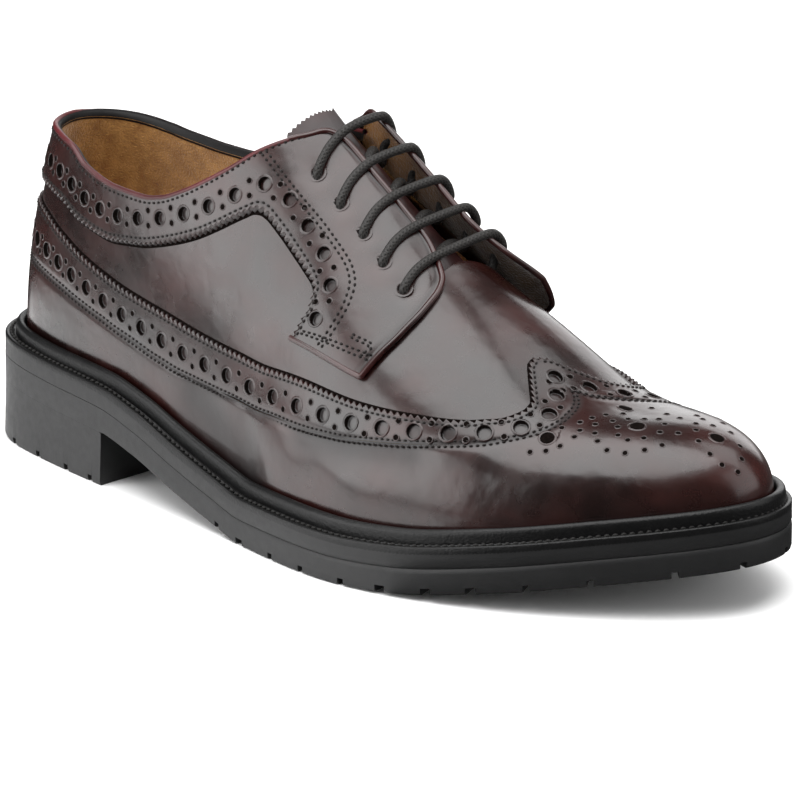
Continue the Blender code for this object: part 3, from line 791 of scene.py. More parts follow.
def unit(vectors):
    """The vectors at a length of one."""
    return vectors / np.linalg.norm(vectors, axis=-1, keepdims=True)


def tangents(u, q, swell):
    """Steps of the skin per station and per share, and the unit normal."""
    step = 1e-3
    ahead = (skin(u + step, q, swell) - skin(u - step, q, swell)) / (2 * step)
    up = (skin(u, q + step, swell) - skin(u, q - step, swell)) / (2 * step)
    return ahead, up, unit(np.cross(ahead, up))


def shift(u, q, swell, forward, upward):
    """Station and share reached by going forward and upward on the skin, in mm."""
    ahead, up, normal = tangents(u, q, swell)
    length = np.linalg.norm(ahead, axis=-1)
    first = ahead / length[..., None]
    second = np.cross(normal, first)
    more_q = upward / (up * second).sum(axis=-1)
    more_u = (forward - more_q * (up * first).sum(axis=-1)) / length
    return u + more_u, q + more_q


def beside(u, q, swell, away):
    """Stations and shares of a line moved sideways on the skin, to the left of its direction if positive."""
    run = np.gradient(skin(u, q, swell), axis=0)
    ahead, _, normal = tangents(u, q, swell)
    side = unit(np.cross(normal, run))
    first = unit(ahead)
    second = np.cross(normal, first)
    return shift(u, q, swell, away * (side * first).sum(axis=-1), away * (side * second).sum(axis=-1))


def punched(places, swell, profile, corners):
    """Lipped holes: a profile of (radius, height, darkness) turned round the normal at each place."""
    u, q = np.array(places, float).T
    swell = np.broadcast_to(swell, u.shape)
    radius, height, dark = np.array(profile, float).T
    turn = np.linspace(0, 2 * np.pi, corners, endpoint=False)
    forward = radius[:, None] * np.cos(turn)
    upward = radius[:, None] * np.sin(turn)
    here = shift(u[:, None, None], q[:, None, None], swell[:, None, None], forward, upward)
    normal = tangents(u, q, swell)[2]
    points = skin(*here, swell[:, None, None]) + normal[:, None, None] * height[:, None, None]
    rings = len(profile)
    first = np.arange(len(u))[:, None, None] * rings * corners + np.arange(rings - 1)[:, None] * corners
    a = first + np.arange(corners)
    b = first + (np.arange(corners) + 1) % corners
    faces = np.stack([a, b, b + corners, a + corners], axis=-1)
    shade = np.broadcast_to(dark[None, :, None], points.shape[:3])
    return points.reshape(-1, 3), faces.reshape(-1, 4), shade.ravel()


def hole_profile(radius, lip, floor, base=1.0):
    """Flange, lip, wall and floor of a punched hole: radius, height, darkness, which paints shade round the
    lip's foot, on the wall and on the floor; base is the floor's.
    """
    return [
        (radius + lip, 0.02, 0.35),
        (radius + 0.6 * lip, 0.02 + 0.24 * lip, 0.0),
        (radius + 0.22 * lip, 0.02 + 0.22 * lip, 0.1),
        (radius, 0.02 + 0.08 * lip, 0.85),
        (radius - 0.1, floor, 0.9),
        (0.72 * radius, floor, base),
        (0.0, floor, base),
    ]


def between(places, swell, away):
    """Two small holes between each two neighbours of a row of large ones, one on each side."""
    u, q = np.array(places, float).T
    middle_u = (u[:-1] + u[1:]) / 2
    middle_q = (q[:-1] + q[1:]) / 2
    pairs = [np.stack(beside(middle_u, middle_q, swell, side), axis=1) for side in (-away, away)]
    return np.concatenate(pairs)


def at_run(run, values, where):
    """Values of a path's points, taken at runs along it."""
    return np.stack([np.interp(where, run, values[:, k]) for k in range(3)], axis=-1)


def stitch_mesh(places, along, side, up, length, radius, sink):
    """A ring of five corners carried over each stitch: thick in the middle, sunk at its ends."""
    part = np.linspace(-1, 1, 5)[:, None]
    turn = np.linspace(0, 2 * np.pi, 6)
    thick = radius * np.sqrt(1 - part**2)
    local = [part * length / 2 + 0 * turn, thick * np.cos(turn), thick * np.sin(turn) - sink * part**2]
    points = sum(axis[:, None, None] * value[..., None] for axis, value in zip((along, side, up), local))
    points = points + places[:, None, None]
    here = np.arange(len(places))[:, None, None] * 30 + np.arange(4)[:, None] * 6 + np.arange(5)
    faces = np.stack([here, here + 6, here + 7, here + 1], axis=-1)
    return points.reshape(-1, 3), faces.reshape(-1, 4), np.zeros(len(places) * 30)


def thread_row(u, q, swell, pitch, length, radius):
    """Stitches along a line of stations and shares."""
    path = skin(u, q, swell)
    run = run_of(path)
    middle = (np.arange(int(run[-1] / pitch)) + 0.5) * pitch
    along = unit(at_run(run, path, middle + length / 2) - at_run(run, path, middle - length / 2))
    side = np.cross(at_run(run, tangents(u, q, swell)[2], middle), along)
    up = np.cross(along, side)
    return stitch_mesh(at_run(run, path, middle), along, side, up, length, radius, THREAD_SINK)


def waxed_thread(name, colour):
    """Waxed linen thread: near black, twisted fibres."""
    material, tree, shader = finish(name, colour, 0.6, Sheen_Weight=0.05, Specular_IOR_Level=0.25)
    fibres = spread(tree, grain(tree, 0.5), 0.0, 1.0)
    tree.links.new(blend(tree, fibres, colour, (0.002, 0.001, 0.001)), shader.inputs["Base Color"])
    bumps(tree, shader, (grain(tree, 0.25), 0.08))
    return material


upper_thread = waxed_thread("dark_thread", (0.009, 0.005, 0.004))

small = between(outer_holes + inner_holes, WING_STEP, SMALL_ASIDE)
# the large holes are cups; the small ones and the medallion's are shallow discs painted black, a painted
# shade where a hole would be
hole_sheets = [
    punched(large, WING_STEP, hole_profile(HOLE_RADIUS, lip=0.8, floor=-1.25, base=0.2), 14),
    punched(small, WING_STEP, hole_profile(SMALL_RADIUS, lip=0.4, floor=0.04), 8),
    punched(MEDALLION_LARGE, WING_STEP, hole_profile(2.2, lip=0.7, floor=0.06), 16),
    punched(MEDALLION_SMALL, WING_STEP, hole_profile(0.78, lip=0.4, floor=0.04), 9),
]
make("longwing_holes", hole_sheets, upper_leather, "upper", pit=painted_shade_black)

row_sheets = []
for inner in (False, True):
    edge, row = wing(np.linspace(0.0, WING_PEAK, 1500), inner)[..., 0]
    width = apart(edge, row, WING_STEP)
    shares = (EDGE_ROW / width, 1 - ROW_APART / width, 1 + ROW_APART / width)
    for share, sunk in zip(shares, (0.0, 0.26, 0.26)):
        swell = WING_STEP - sunk + THREAD_RISE
        row_sheets.append(thread_row(*toward(edge, row, share), swell, *UPPER_STITCH))
make("longwing_stitches", row_sheets, upper_thread, "upper")

# Collar band and facings
# One overlay of the same leather: a band round the collar that widens into the two laced facings.
# Pinked and stitched along its lower edge, beaded along the throat, lined with golden leather beneath.
FACING_GAP = 0.45
FACING_TOP = 1.75
# station and share of the collar or front edge, the same of the pinked rear edge
FACING = [(station, share, rear_u, rear_q) for station, share, _, rear_u, rear_q in COLLAR]
FACING += [
    (0.452, 0.661, 0.441, 0.450),
    (0.465, 0.745, 0.448, 0.475),
    (0.4745, 0.822, 0.455, 0.488),
    (0.486, 0.858, 0.461, 0.491),
    (0.509, 0.874, 0.473, 0.490),
    (0.531, 0.894, 0.485, 0.486),
    (0.552, 0.909, 0.497, 0.480),
    (0.569, 0.880, 0.506, 0.474),
    (0.580, 0.840, 0.511, 0.455),
    (0.585, 0.770, 0.511, 0.430),
    (0.586, 0.690, 0.511, 0.410),
    (0.583, 0.580, 0.508, 0.385),
    (0.577, 0.487, 0.506, 0.360),
    (0.570, 0.395, 0.503, 0.333),
]
# station and share
EYELETS = [(0.481, 0.689), (0.503, 0.692), (0.525, 0.698), (0.545, 0.698), (0.566, 0.699)]
# row of large holes: distance in mm from the pinked edge at places along the band, and its pitch at runs
# from the heel
BAND_LINE = [(0.0, 8.4), (0.45, 8.2), (0.92, 5.9)]
BAND_PITCH = [(0, 8.2), (45, 8.2), (70, 9.8), (90, 11.0), (200, 11.4)]
# seam of the facing, two rows beside each other
FACING_SEAM = [
    (0.441, 0.589),
    (0.460, 0.587),
    (0.479, 0.589),
    (0.499, 0.593),
    (0.517, 0.591),
    (0.530, 0.581),
    (0.535, 0.561),
    (0.5365, 0.535),
    (0.537, 0.505),
    (0.536, 0.471),
    (0.534, 0.429),
    (0.528, 0.365),
]
BAR_TACK = [(0.551, 0.470), (0.560, 0.483), (0.569, 0.491), (0.5695, 0.470), (0.568, 0.452), (0.561, 0.446)]
# stitches of the facing in mm: pitch, length, radius, then the rows below the topline and beside each other
FACING_STITCH = (2.15, 1.5, 0.45)
TOPLINE_ROW = 1.9
SEAM_APART = 1.7
TACK_APART = 1.1
# eyelets in mm: radius of the leather cut away, depth and reach of the dent round each
EYELET_CUT = 1.9
EYE_DENT = 0.9
EYE_REACH = 4.0
# folded bead in mm: swell of its middle line, radius
BEAD_SWELL = 1.3
BEAD_RADIUS = 0.95
# valley beside the bead along the throat: depth, distance, reach in mm
# its painted shade, a dark line in the valley: darkness, distance, reach
VALLEY = (0.4, 1.8, 0.6)
VALLEY_SHADE = (0.7, 1.6, 0.4)
# the lace pulls a trough from each eyelet to the free edge, with a ridge between two of them
PULLS = [(u, q + 0.02, u + 0.006, q + 0.15, 3.2, -0.8) for u, q in EYELETS]
PULLS += [(u + 0.011, q + 0.02, u + 0.016, q + 0.13, 3.5, 0.45) for u, q in EYELETS[:-1]]
FACING_ROWS = [(i / (len(FACING) - 1), *row) for i, row in enumerate(FACING)]
# place along the band where the throat begins, at the table's row 13
THROAT = 13 / (len(FACING) - 1)
# the inner facing's free edge lies farther from the crest, stands off the tongue and reaches farther forward
INNER_OPEN = 0.06
INNER_AHEAD = 0.014
SPRING = 6.4
SPRING_REACH = 9.0


def throat_part(along):
    """One along the throat, fading out at the collar and at the facing's lower corner."""
    return np.clip((along - THROAT + 0.06) / 0.1, 0, 1) * np.clip((1.0 - along) / 0.14, 0, 1)


def sprung(along, inner, away):
    """Rise of the inner facing: a bell from its free edge rearward, along the throat only."""
    return SPRING * inner * throat_part(along) * bell(away, SPRING_REACH)


def facing(along, inner):
    """The band's front and rear edges at places along it: of each, stations and shares."""
    front_u, front_q, rear_u, rear_q = [steady(FACING_ROWS, column, along) for column in (1, 2, 3, 4)]
    if inner:
        front_q = 2 - front_q - lift(front_u) + INNER_OPEN * throat_part(along)
        reach = INNER_AHEAD * np.clip((along - 0.66) / 0.2, 0, 1)
        front_u = front_u + reach * np.clip((1 - along) / 0.08, 0, 1)
        rear_q = 2 - rear_q - lift(rear_u)
    return np.reshape([front_u, front_q, rear_u, rear_q], (2, 2, -1, 1))


def line(places, count):
    """A smooth line of stations and shares through a few places."""
    station_mm, share_mm = 300, 80
    table = np.array(places, float)
    step = np.hypot(np.diff(table[:, 0]) * station_mm, np.diff(table[:, 1]) * share_mm)
    rows = np.column_stack([np.concatenate([[0], np.cumsum(step)]), table])
    where = np.linspace(0, rows[-1, 0], count)
    return smooth(rows, 1, where), smooth(rows, 2, where)


def other_side(places):
    """The same places on the inner side."""
    return [(u, 2 - q - float(lift(u))) for u, q in places]


def tube(path, normal, radius, corners):
    """A round bead along a path: rings of points round it, begun at its normal."""
    along = np.gradient(path, axis=0)
    side = unit(np.cross(normal, along))
    up = unit(np.cross(along, side))
    turn = np.linspace(0, 2 * np.pi, corners + 1)
    ring = np.cos(turn)[:, None] * up[:, None] + np.sin(turn)[:, None] * side[:, None]
    return path[:, None] + np.reshape(radius, (-1, 1, 1)) * ring


facing_leather = burgundy("polished_facing", *BURGUNDY)
golden_lining = suede("golden_lining", (0.22, 0.085, 0.01), (0.45, 0.19, 0.03))
front_share = np.concatenate([[0.0, 0.02, 0.045, 0.07], np.linspace(0.1, 0.94, 42), [0.965, 0.988, 1.0, 1.0]])
rear_drop = np.concatenate([np.zeros(47), [-0.08, -0.3, -FACING_TOP - 0.1]])
along = np.linspace(0, BAND_LINE[-1][0], 1500)
front, rear = facing(along, False)[..., 0]
inset = np.interp(along, *np.transpose(BAND_LINE)) / apart(front, rear, FACING_TOP)
band_holes = spaced(toward(rear, front, inset), FACING_TOP, BAND_PITCH)
large_profile = hole_profile(HOLE_RADIUS - 0.15, lip=0.8, floor=-1.5, base=0.25)
# small holes are shallow discs painted black: painted shade where a hole would be
small_profile = hole_profile(SMALL_RADIUS, lip=0.4, floor=0.04)
eye_ring = np.array([3.1, 2.6, 2.15, 1.8, 1.6, 1.5, 0.0])
eye_height = np.array([0.02, 0.04, 0.06, 0.0, -0.15]) - EYE_DENT * bell(eye_ring[:5], EYE_REACH)
# painted shade down into the eyelet, black at its pit
eye_dark = [0.0, 0.0, 0.1, 0.4, 0.85, 1.0, 1.0]
eye_profile = np.stack([eye_ring, [*eye_height, -1.0, -1.0], eye_dark], axis=1)
facing_sheets = []
facing_lining = []
bead_sheets = []
seam_sheets = []
for inner in (False, True):
    places = other_side(band_holes) if inner else band_holes
    beyond = band_holes[:2] if inner else other_side(band_holes[:2])
    laced = other_side(EYELETS) if inner else EYELETS
    fine = np.linspace(0, 1, 4000)
    along, teeth = column_of(skin(*facing(fine, inner)[1, ..., 0], FACING_TOP), TOOTH_PITCH, fine)
    front, rear = facing(along, inner)
    width = apart(front, rear, FACING_TOP)
    share = front_share - pinked(teeth) / width * front_share**6
    u, q = toward(front, rear, share)
    from_front = share * width
    laced_part = along > THROAT
    spring = sprung(along[:, None], inner, from_front)
    plain = skin(u, q, FACING_TOP + spring)
    eye_u, eye_q = np.array(laced).T
    eye_away = np.linalg.norm(skin(eye_u, eye_q)[:, None] - skin(*front)[None, :, 0], axis=-1).min(axis=1)
    eye_swell = FACING_TOP + sprung(THROAT + 0.2, inner, eye_away)
    eyes = skin(eye_u, eye_q, eye_swell)
    to_eye = np.linalg.norm(plain[:, :, None] - eyes, axis=-1).min(axis=2)
    dent = -EYE_DENT * bell(to_eye, EYE_REACH)
    depth, distance, reach = VALLEY
    valley = -depth * bell(from_front - distance, reach) * laced_part[:, None]
    shade, distance, reach = VALLEY_SHADE
    # burnished rim, painted shade and dirt along the edge row, and painted shade in the valley beside the
    # bead
    dark = burnish_and_seam_shade((1 - share) * width) + shade * bell(from_front - distance, reach) * laced_part[:, None]
    pull = soft_mark(u, 2 - q if inner else q, PULLS)
    swell = FACING_TOP + rear_drop + dent + valley + spring + pull
    outside = sheet(skin(u, q, swell), flip=not inner, dark=np.clip(dark, 0, DARKEST))
    cut = np.array(places + beyond)
    centres = np.concatenate([skin(*cut.T, FACING_TOP), eyes])
    radii = np.repeat([HOLE_RADIUS + 0.1, EYELET_CUT], [len(cut), len(eyes)])
    facing_sheets.append(cut_out(outside, centres, radii))
    facing_sheets.append(punched(places[inner:], FACING_TOP, large_profile, 14))
    facing_sheets.append(punched(between(places, FACING_TOP, 2.35), FACING_TOP, small_profile, 8))
    facing_sheets.append(punched(laced, eye_swell, eye_profile, 14))
    under = skin(u[laced_part, :30], q[laced_part, :30], FACING_GAP + spring[laced_part, :30])
    # painted shade: the lining under the facing darker toward the throat's lower end
    lining_shade = np.clip((along[laced_part] - THROAT - 0.03) / 0.2, 0, 0.88)[:, None]
    facing_lining.append(sheet(under, flip=inner, dark=lining_shade))
    # painted shadow: a black strip on the quarter under the band's pinked rear edge
    facing_sheets.append(sheet(shadow_strip(rear, front, width), flip=inner, dark=1.0))
    # folded bead: up the collar end, down the throat, round the lower edge
    edge_along = np.linspace(THROAT - 0.03, 1, 500)
    front, rear = facing(edge_along, inner)[..., 0]
    low = np.linspace(0, 1, 120)[1:]
    bead = np.concatenate([front, toward(front[:, -1:], rear[:, -1:], low)], axis=1)
    bead_spring = sprung(np.concatenate([edge_along, 0 * low + 1.0]), inner, 0.0)
    bead_path = skin(*bead, BEAD_SWELL + bead_spring)
    soft = np.ones(7) / 7
    bead_path[3:-3] = np.stack([np.convolve(bead_path[:, k], soft, "valid") for k in range(3)], axis=-1)
    bead_sheets.append(sheet(tube(bead_path, tangents(*bead, BEAD_SWELL)[2], BEAD_RADIUS, 10), flip=True))
    # stitch rows: by the pinked edge, below the topline, two along the seam, two at the lower edge, the tack
    hand = -1 if inner else 1
    fine = np.linspace(0.0, 0.995, 900)
    front, rear = facing(fine, inner)[..., 0]
    width = apart(front, rear, FACING_TOP)
    rows = [toward(front, rear, 1 - EDGE_ROW / width)]
    rows.append(toward(front, rear, TOPLINE_ROW / width)[:, fine < THROAT])
    seam = line(other_side(FACING_SEAM) if inner else FACING_SEAM, 300)
    rows += [seam, beside(*seam, FACING_TOP, SEAM_APART * hand)]
    for rise in (1.9, 3.3):
        level = np.argmin(np.abs(fine - 0.985 + rise * 0.006))
        rows.append(toward(front[:, level, None], rear[:, level, None], np.linspace(0.04, 0.96, 60)))
    tack = line(other_side(BAR_TACK) if inner else BAR_TACK, 60)
    rows += [tack, beside(*tack, FACING_TOP, -TACK_APART * hand)]
    seam_sheets += [thread_row(*places, FACING_TOP + THREAD_RISE, *FACING_STITCH) for places in rows]
make("collar_band_and_facings", facing_sheets, facing_leather, "facing", "facing", pit=painted_shade_black)
make("facing_lining", facing_lining, golden_lining, "facing")
bead_leather = burgundy("bead_leather", (0.012, 0.0024, 0.002), (0.046, 0.007, 0.006), 0.3, 0.35)
make("facing_bead", bead_sheets, bead_leather, "facing")
make("facing_stitches", seam_sheets, upper_thread, "facing")

# Topline
# The collar's edge: a red bead of folded leather, sewn in along the outside.
# A binding of thin black leather is turned over the rim to the lining inside.
topline_along = np.linspace(0, THROAT + 0.02, 220)
# swell and rise of the binding's section, from the bead over the rim to the lining
ROLLED = [(1.0, 0.2), (0.6, 0.7), (-0.3, 0.85), (-1.3, 0.6), (-1.95, 0.0), (-2.2, -0.6), (-2.0, -0.9)]
TOPLINE_SWELL = 1.0
TOPLINE_RADIUS = 0.9
topline_sheets = []
binding_sheets = []
binding_black, binding_tree, binding_shader = finish(
    "black_binding", (0.004, 0.0035, 0.0035), 0.5, Specular_IOR_Level=0.2
)
bumps(binding_tree, binding_shader, (grain(binding_tree, 0.6), 0.05), (grain(binding_tree, 5.0), 0.15))
for inner in (False, True):
    rim_u, rim_q = facing(topline_along, inner)[0, ..., 0]
    path = skin(rim_u, rim_q + 0.006 * inner * np.clip(rim_u / 0.15, 0, 1), TOPLINE_SWELL)
    ahead, _, normal = tangents(rim_u, rim_q, TOPLINE_SWELL)
    topline_sheets.append(sheet(tube(path, normal, TOPLINE_RADIUS, 10), flip=True))
    upward = unit(np.cross(normal, ahead)) * (-1.0 if inner else 1.0)
    roll = np.stack([skin(rim_u, rim_q, swell) + rise * upward for swell, rise in ROLLED], axis=1)
    binding_sheets.append(sheet(roll, flip=inner))
red_edge = burgundy("red_bead", (0.025, 0.003, 0.004), (0.085, 0.008, 0.01), 0.4, 0.05)
make("topline_bead", topline_sheets, red_edge, "facing")
make("topline_binding", binding_sheets, binding_black, "upper")

# Tongue
# A leaf of the same leather under the facings, sewn to the vamp in front.
# Its top edge is gimped and stands a little above the facings.
TONGUE_SINK = -5.7
TONGUE_THICK = 2.0
# depth and reach of the gimped edge, as stations
GIMP_DEPTH = 0.0013
GIMP_REACH = 0.002
# station, share of the side edges, swell, how far the sides stand behind the middle
TONGUE = [
    (0.4555, 0.70, TONGUE_SINK + 0.7, 0.017),
    (0.4595, 0.70, TONGUE_SINK + 0.5, 0.015),
    (0.4635, 0.67, TONGUE_SINK + 0.3, 0.012),
    (0.4705, 0.64, TONGUE_SINK, 0.007),
    (0.490, 0.61, TONGUE_SINK, 0.0),
    (0.565, 0.60, TONGUE_SINK, 0.0),
    (0.590, 0.62, -3.6, 0.0),
    (0.606, 0.66, -2.7, 0.0),
    (0.618, 0.70, -2.7, 0.0),
]
tongue_leather = burgundy("tongue_leather", (0.008, 0.0025, 0.0025), (0.03, 0.007, 0.0065), 0.45, 0.1)
across = np.linspace(-1, 1, 97)
gimp = GIMP_DEPTH * np.abs((np.arange(97) % 4) - 2) / 2
tongue_station = np.concatenate([[0.4588, 0.4595], np.linspace(0.4608, 0.618, 44)])
lowest = steady(TONGUE, 1, tongue_station)[:, None]
tongue_share = 1 - (1 - lowest) * np.abs(across)
behind = tongue_station[:, None] - steady(TONGUE, 3, tongue_station)[:, None] * np.abs(across) ** 1.25
behind = behind + gimp * bell(tongue_station - tongue_station[0], GIMP_REACH)[:, None]
tongue_q = np.where(across < 0, tongue_share, 2 - tongue_share)
tongue_swell = steady(TONGUE, 2, tongue_station)[:, None]
leaf = skin(behind, tongue_q, tongue_swell)
leaf_under = skin(behind, tongue_q, tongue_swell - TONGUE_THICK)
tongue_sheets = [sheet(leaf), sheet(leaf_under, flip=True)]
for edge, flip in ((np.s_[0], False), (np.s_[-1], True), (np.s_[:, 0], True), (np.s_[:, -1], False)):
    tongue_sheets.append(sheet(np.stack([leaf[edge], leaf_under[edge]], axis=1), flip=flip))
make("tongue_leaf", tongue_sheets, tongue_leather, "tongue", "tongue", sharp=50)

# Storm welt
# A strip of black rubber round the shoe: a glossy rib stands against the upper.
# A flat flange lies on the sole and is sewn to it with black waxed thread.
WELT_FOOT = 13.2
WELT_TOP = 15.0
RIB_HEIGHT = 4.2
RIB_THICK = 3.3
WELT_TUCK = 3.4
# stitches of the flange in mm: distance from the edge, then pitch, length, radius, sink
FLANGE_ROW = 2.0
FLANGE_STITCH = (2.5, 2.2, 0.55, 0.3)


def rubber(name, colour, roughness, size, depth, **constants):
    """Moulded rubber: nearly black, dusted, finely pitted."""
    material, tree, shader = finish(name, colour, roughness, **constants)
    dust = spread(tree, grain(tree, 6.0, 5.0, (4.0, 4.0, 1.0)), 0.0, 1.0)
    pale = tuple(1.12 * part + 0.0005 for part in colour)
    tree.links.new(blend(tree, dust, colour, pale), shader.inputs["Base Color"])
    dulled = spread(tree, grain(tree, 2.5, 4.0), roughness - 0.03, roughness + 0.05)
    tree.links.new(dulled, shader.inputs["Roughness"])
    bumps(tree, shader, (grain(tree, 12.0, 3.0, (3.0, 3.0, 1.0)), 0.07), (grain(tree, size, 4.0), depth))
    return material


round_v = np.linspace(0, 2, 640, endpoint=False)
wall_foot = steady(INSET, 1, outline(round_v)[0]) - WING_STEP - 0.35
rib_foot = wall_foot - RIB_THICK
welt_section = [
    (0.12, WELT_FOOT - 0.5),
    (0.12, WELT_TOP - 0.5),
    (0.3, WELT_TOP - 0.15),
    (0.7, WELT_TOP),
    (1.3, WELT_TOP - 0.05),
    (FLANGE_ROW, WELT_TOP - 0.5),
    (2.7, WELT_TOP - 0.05),
    (rib_foot - 0.5, WELT_TOP - 0.6),
    (rib_foot, WELT_TOP - 0.5),
    (rib_foot + 0.15, WELT_TOP + 0.5 * RIB_HEIGHT),
]
for turn in np.linspace(0, np.pi, 9):
    rib_inset = wall_foot - RIB_THICK / 2 - (RIB_THICK / 2 - 0.2) * np.cos(turn)
    welt_section.append((rib_inset, WELT_TOP + 0.62 * RIB_HEIGHT + 0.38 * RIB_HEIGHT * np.sin(turn)))
welt_section += [
    (wall_foot, WELT_TOP),
    (wall_foot + WELT_TUCK, WELT_TOP),
    (wall_foot + WELT_TUCK, WELT_FOOT),
    welt_section[0],
]
welt_black = rubber(
    "welt_black", (0.003, 0.003, 0.0031), 0.36, 0.8, 0.14, Coat_Weight=0.0, Specular_IOR_Level=0.28
)
welt_sheet = sheet(swept(round_v, welt_section), flip=True, closed=True)
make("storm_welt", [welt_sheet], welt_black, "welt", "welt", sharp=60)


def edge_stitches(inset, height, pitch, length, radius, sink):
    """Slanted stitches along a line that runs round the sole's edge."""
    path = swept(np.linspace(0, 2, 3000), [(inset, height)])[:, 0]
    run = run_of(path)
    count = int(run[-1] / pitch)
    middle = (np.arange(count) + 0.5) * run[-1] / count
    upright = [0.0, 0.0, 1.0]
    along = unit(at_run(run, path, middle + 0.4) - at_run(run, path, middle - 0.4))
    slanted = unit(along + 0.25 * np.cross(upright, along))
    side = np.cross(upright, slanted)
    up = np.cross(slanted, side)
    return stitch_mesh(at_run(run, path, middle), slanted, side, up, length, radius, sink)


welt_thread = waxed_thread("welt_thread", (0.012, 0.012, 0.011))
flange_stitches = edge_stitches(FLANGE_ROW, WELT_TOP - 0.1, *FLANGE_STITCH)
make("welt_stitches", [flange_stitches], welt_thread, "welt")

# Midsole
# The upper layer of the sole's edge in black rubber, moulded and glued under the welt.
# The thin groove below it is faint at the heel and opens toward the toe.
OUTSOLE_THICK = 8.3
MIDSOLE_TOP = 12.9


def groove_at(v):
    """How far the groove is open, from nearly nothing to one."""
    return np.clip((v - 0.36) / 0.26, 0.03, 1)


# the stations stand closer round the heel and the toe
round_heel = np.linspace(0, 0.12, 50)
half_v = np.concatenate([round_heel, np.linspace(0.12, 0.88, 240)[1:-1], np.linspace(0.88, 1, 50)])
sole_black = rubber("sole_black", (0.0085, 0.0085, 0.0088), 0.5, 0.5, 0.05, Specular_IOR_Level=0.4)
groove = groove_at(half_v)
midsole_section = [
    (1.4, OUTSOLE_THICK - 0.1),
    (0.06 + 0.5 * groove, OUTSOLE_THICK - 0.08),
    (0.06 + 0.35 * groove, OUTSOLE_THICK + 0.35),
    (0.06, OUTSOLE_THICK + 1.0),
    (0.12, MIDSOLE_TOP - 1.2),
    (0.12, MIDSOLE_TOP),
]
make("midsole_layer", plate(half_v, midsole_section), sole_black, "midsole", "midsole", sharp=60)

# Outsole
# The lower layer of black rubber, moulded with its arch and toe spring and glued to the midsole.
# Notches between the lugs open along its lower edge.
LUG_DEPTH = 2.2
LUG_REACH = 10.0
HEEL_BREAST = 75.0
# station, width
SOLE_NOTCHES = [
    (0.462, 2.2),
    (0.487, 3.4),
    (0.522, 2.2),
    (0.554, 2.2),
    (0.591, 2.2),
    (0.623, 3.4),
    (0.658, 3.4),
    (0.692, 3.4),
    (0.734, 2.2),
    (0.784, 2.2),
    (0.861, 2.2),
    (0.948, 2.2),
]


def notched(stations, notches):
    """Stations with a pair of columns at each notch's two sides, and which of them lie in a notch."""
    centre, width = np.array(notches, float).T
    run = np.hypot(*(np.array(outline(centre + 1e-3)) - np.array(outline(centre - 1e-3)))) / 2e-3
    half = width / run / 2
    sides = np.concatenate([centre - half - 1e-5, centre - half, centre + half, centre + half + 1e-5])
    keep = (np.abs(stations[:, None] - centre) > half + 1e-4).all(axis=1)
    every = np.sort(np.concatenate([stations[keep], sides, centre]))
    cut = (np.abs(every[:, None] - centre) <= half + 1e-6).any(axis=1)
    return every, cut


sole_v, sole_cut = notched(half_v, SOLE_NOTCHES)
raised = LUG_DEPTH * sole_cut
sole_groove = groove_at(sole_v)
lower_bevel = 1.0 * (outline(sole_v)[0] > HEEL_BREAST)
outsole_section = [
    (LUG_REACH + 0.02, 0.0),
    (LUG_REACH, raised),
    (lower_bevel * (0.9 - 0.85 * sole_cut), raised),
    (lower_bevel * 0.15, np.maximum(raised, 0.4)),
    (0.0, np.maximum(raised + 0.02, 1.0)),
    (0.0, 4.0),
    (0.0, 6.6),
    (0.1 * sole_groove, 7.6),
    (0.5 * sole_groove, 8.1),
    (1.4, OUTSOLE_THICK - 0.12),
]
make("outsole_layer", plate(sole_v, outsole_section), sole_black, "outsole", "outsole", sharp=40)

# Heel
# A moulded block of the same rubber nailed under the outsole.
# It flares a little downward and is notched like the sole.
HEEL_FLARE = 0.6
HEEL_REACH = 9.0
HEEL_NOTCHES = [(0.165, 2.2), (0.222, 2.2), (0.272, 2.2), (0.308, 2.2)]
breast = np.arccos(1 - 2 * (HEEL_BREAST - SOLE_BACK) / SOLE_LENGTH) / np.pi
to_breast = np.concatenate([round_heel, np.linspace(0.12, breast, 70)[1:]])
heel_v, heel_cut = notched(to_breast, HEEL_NOTCHES)
heel_raised = LUG_DEPTH * heel_cut
heel_walls = []
for v in (heel_v, 2 - heel_v):
    top = tread(outline(v)[0]) - 0.03
    rows = [
        (HEEL_REACH + 0.02, 0.0 * v),
        (HEEL_REACH, heel_raised),
        (0.5 - HEEL_FLARE - 0.4 * heel_cut, heel_raised),
        (-HEEL_FLARE, np.maximum(heel_raised + 0.02, 1.2)),
        (-0.55 * HEEL_FLARE, 0.45 * top),
        (-0.1 * HEEL_FLARE, 0.8 * top),
        (0.0, top),
    ]
    levels = []
    for inset, height in rows:
        edge_x, edge_y = inset_outline(v, inset)
        levels.append(np.stack([np.minimum(edge_x, HEEL_BREAST), edge_y, height], axis=-1))
    heel_walls.append(np.stack(levels, axis=1))
heel_sheets = closed_plate(*heel_walls)
heel_sheets.append(sheet(np.stack([heel_walls[0][-1], heel_walls[1][-1]], axis=1), flip=True))
make("heel_block", heel_sheets, sole_black, "heel", "heel", sharp=40)

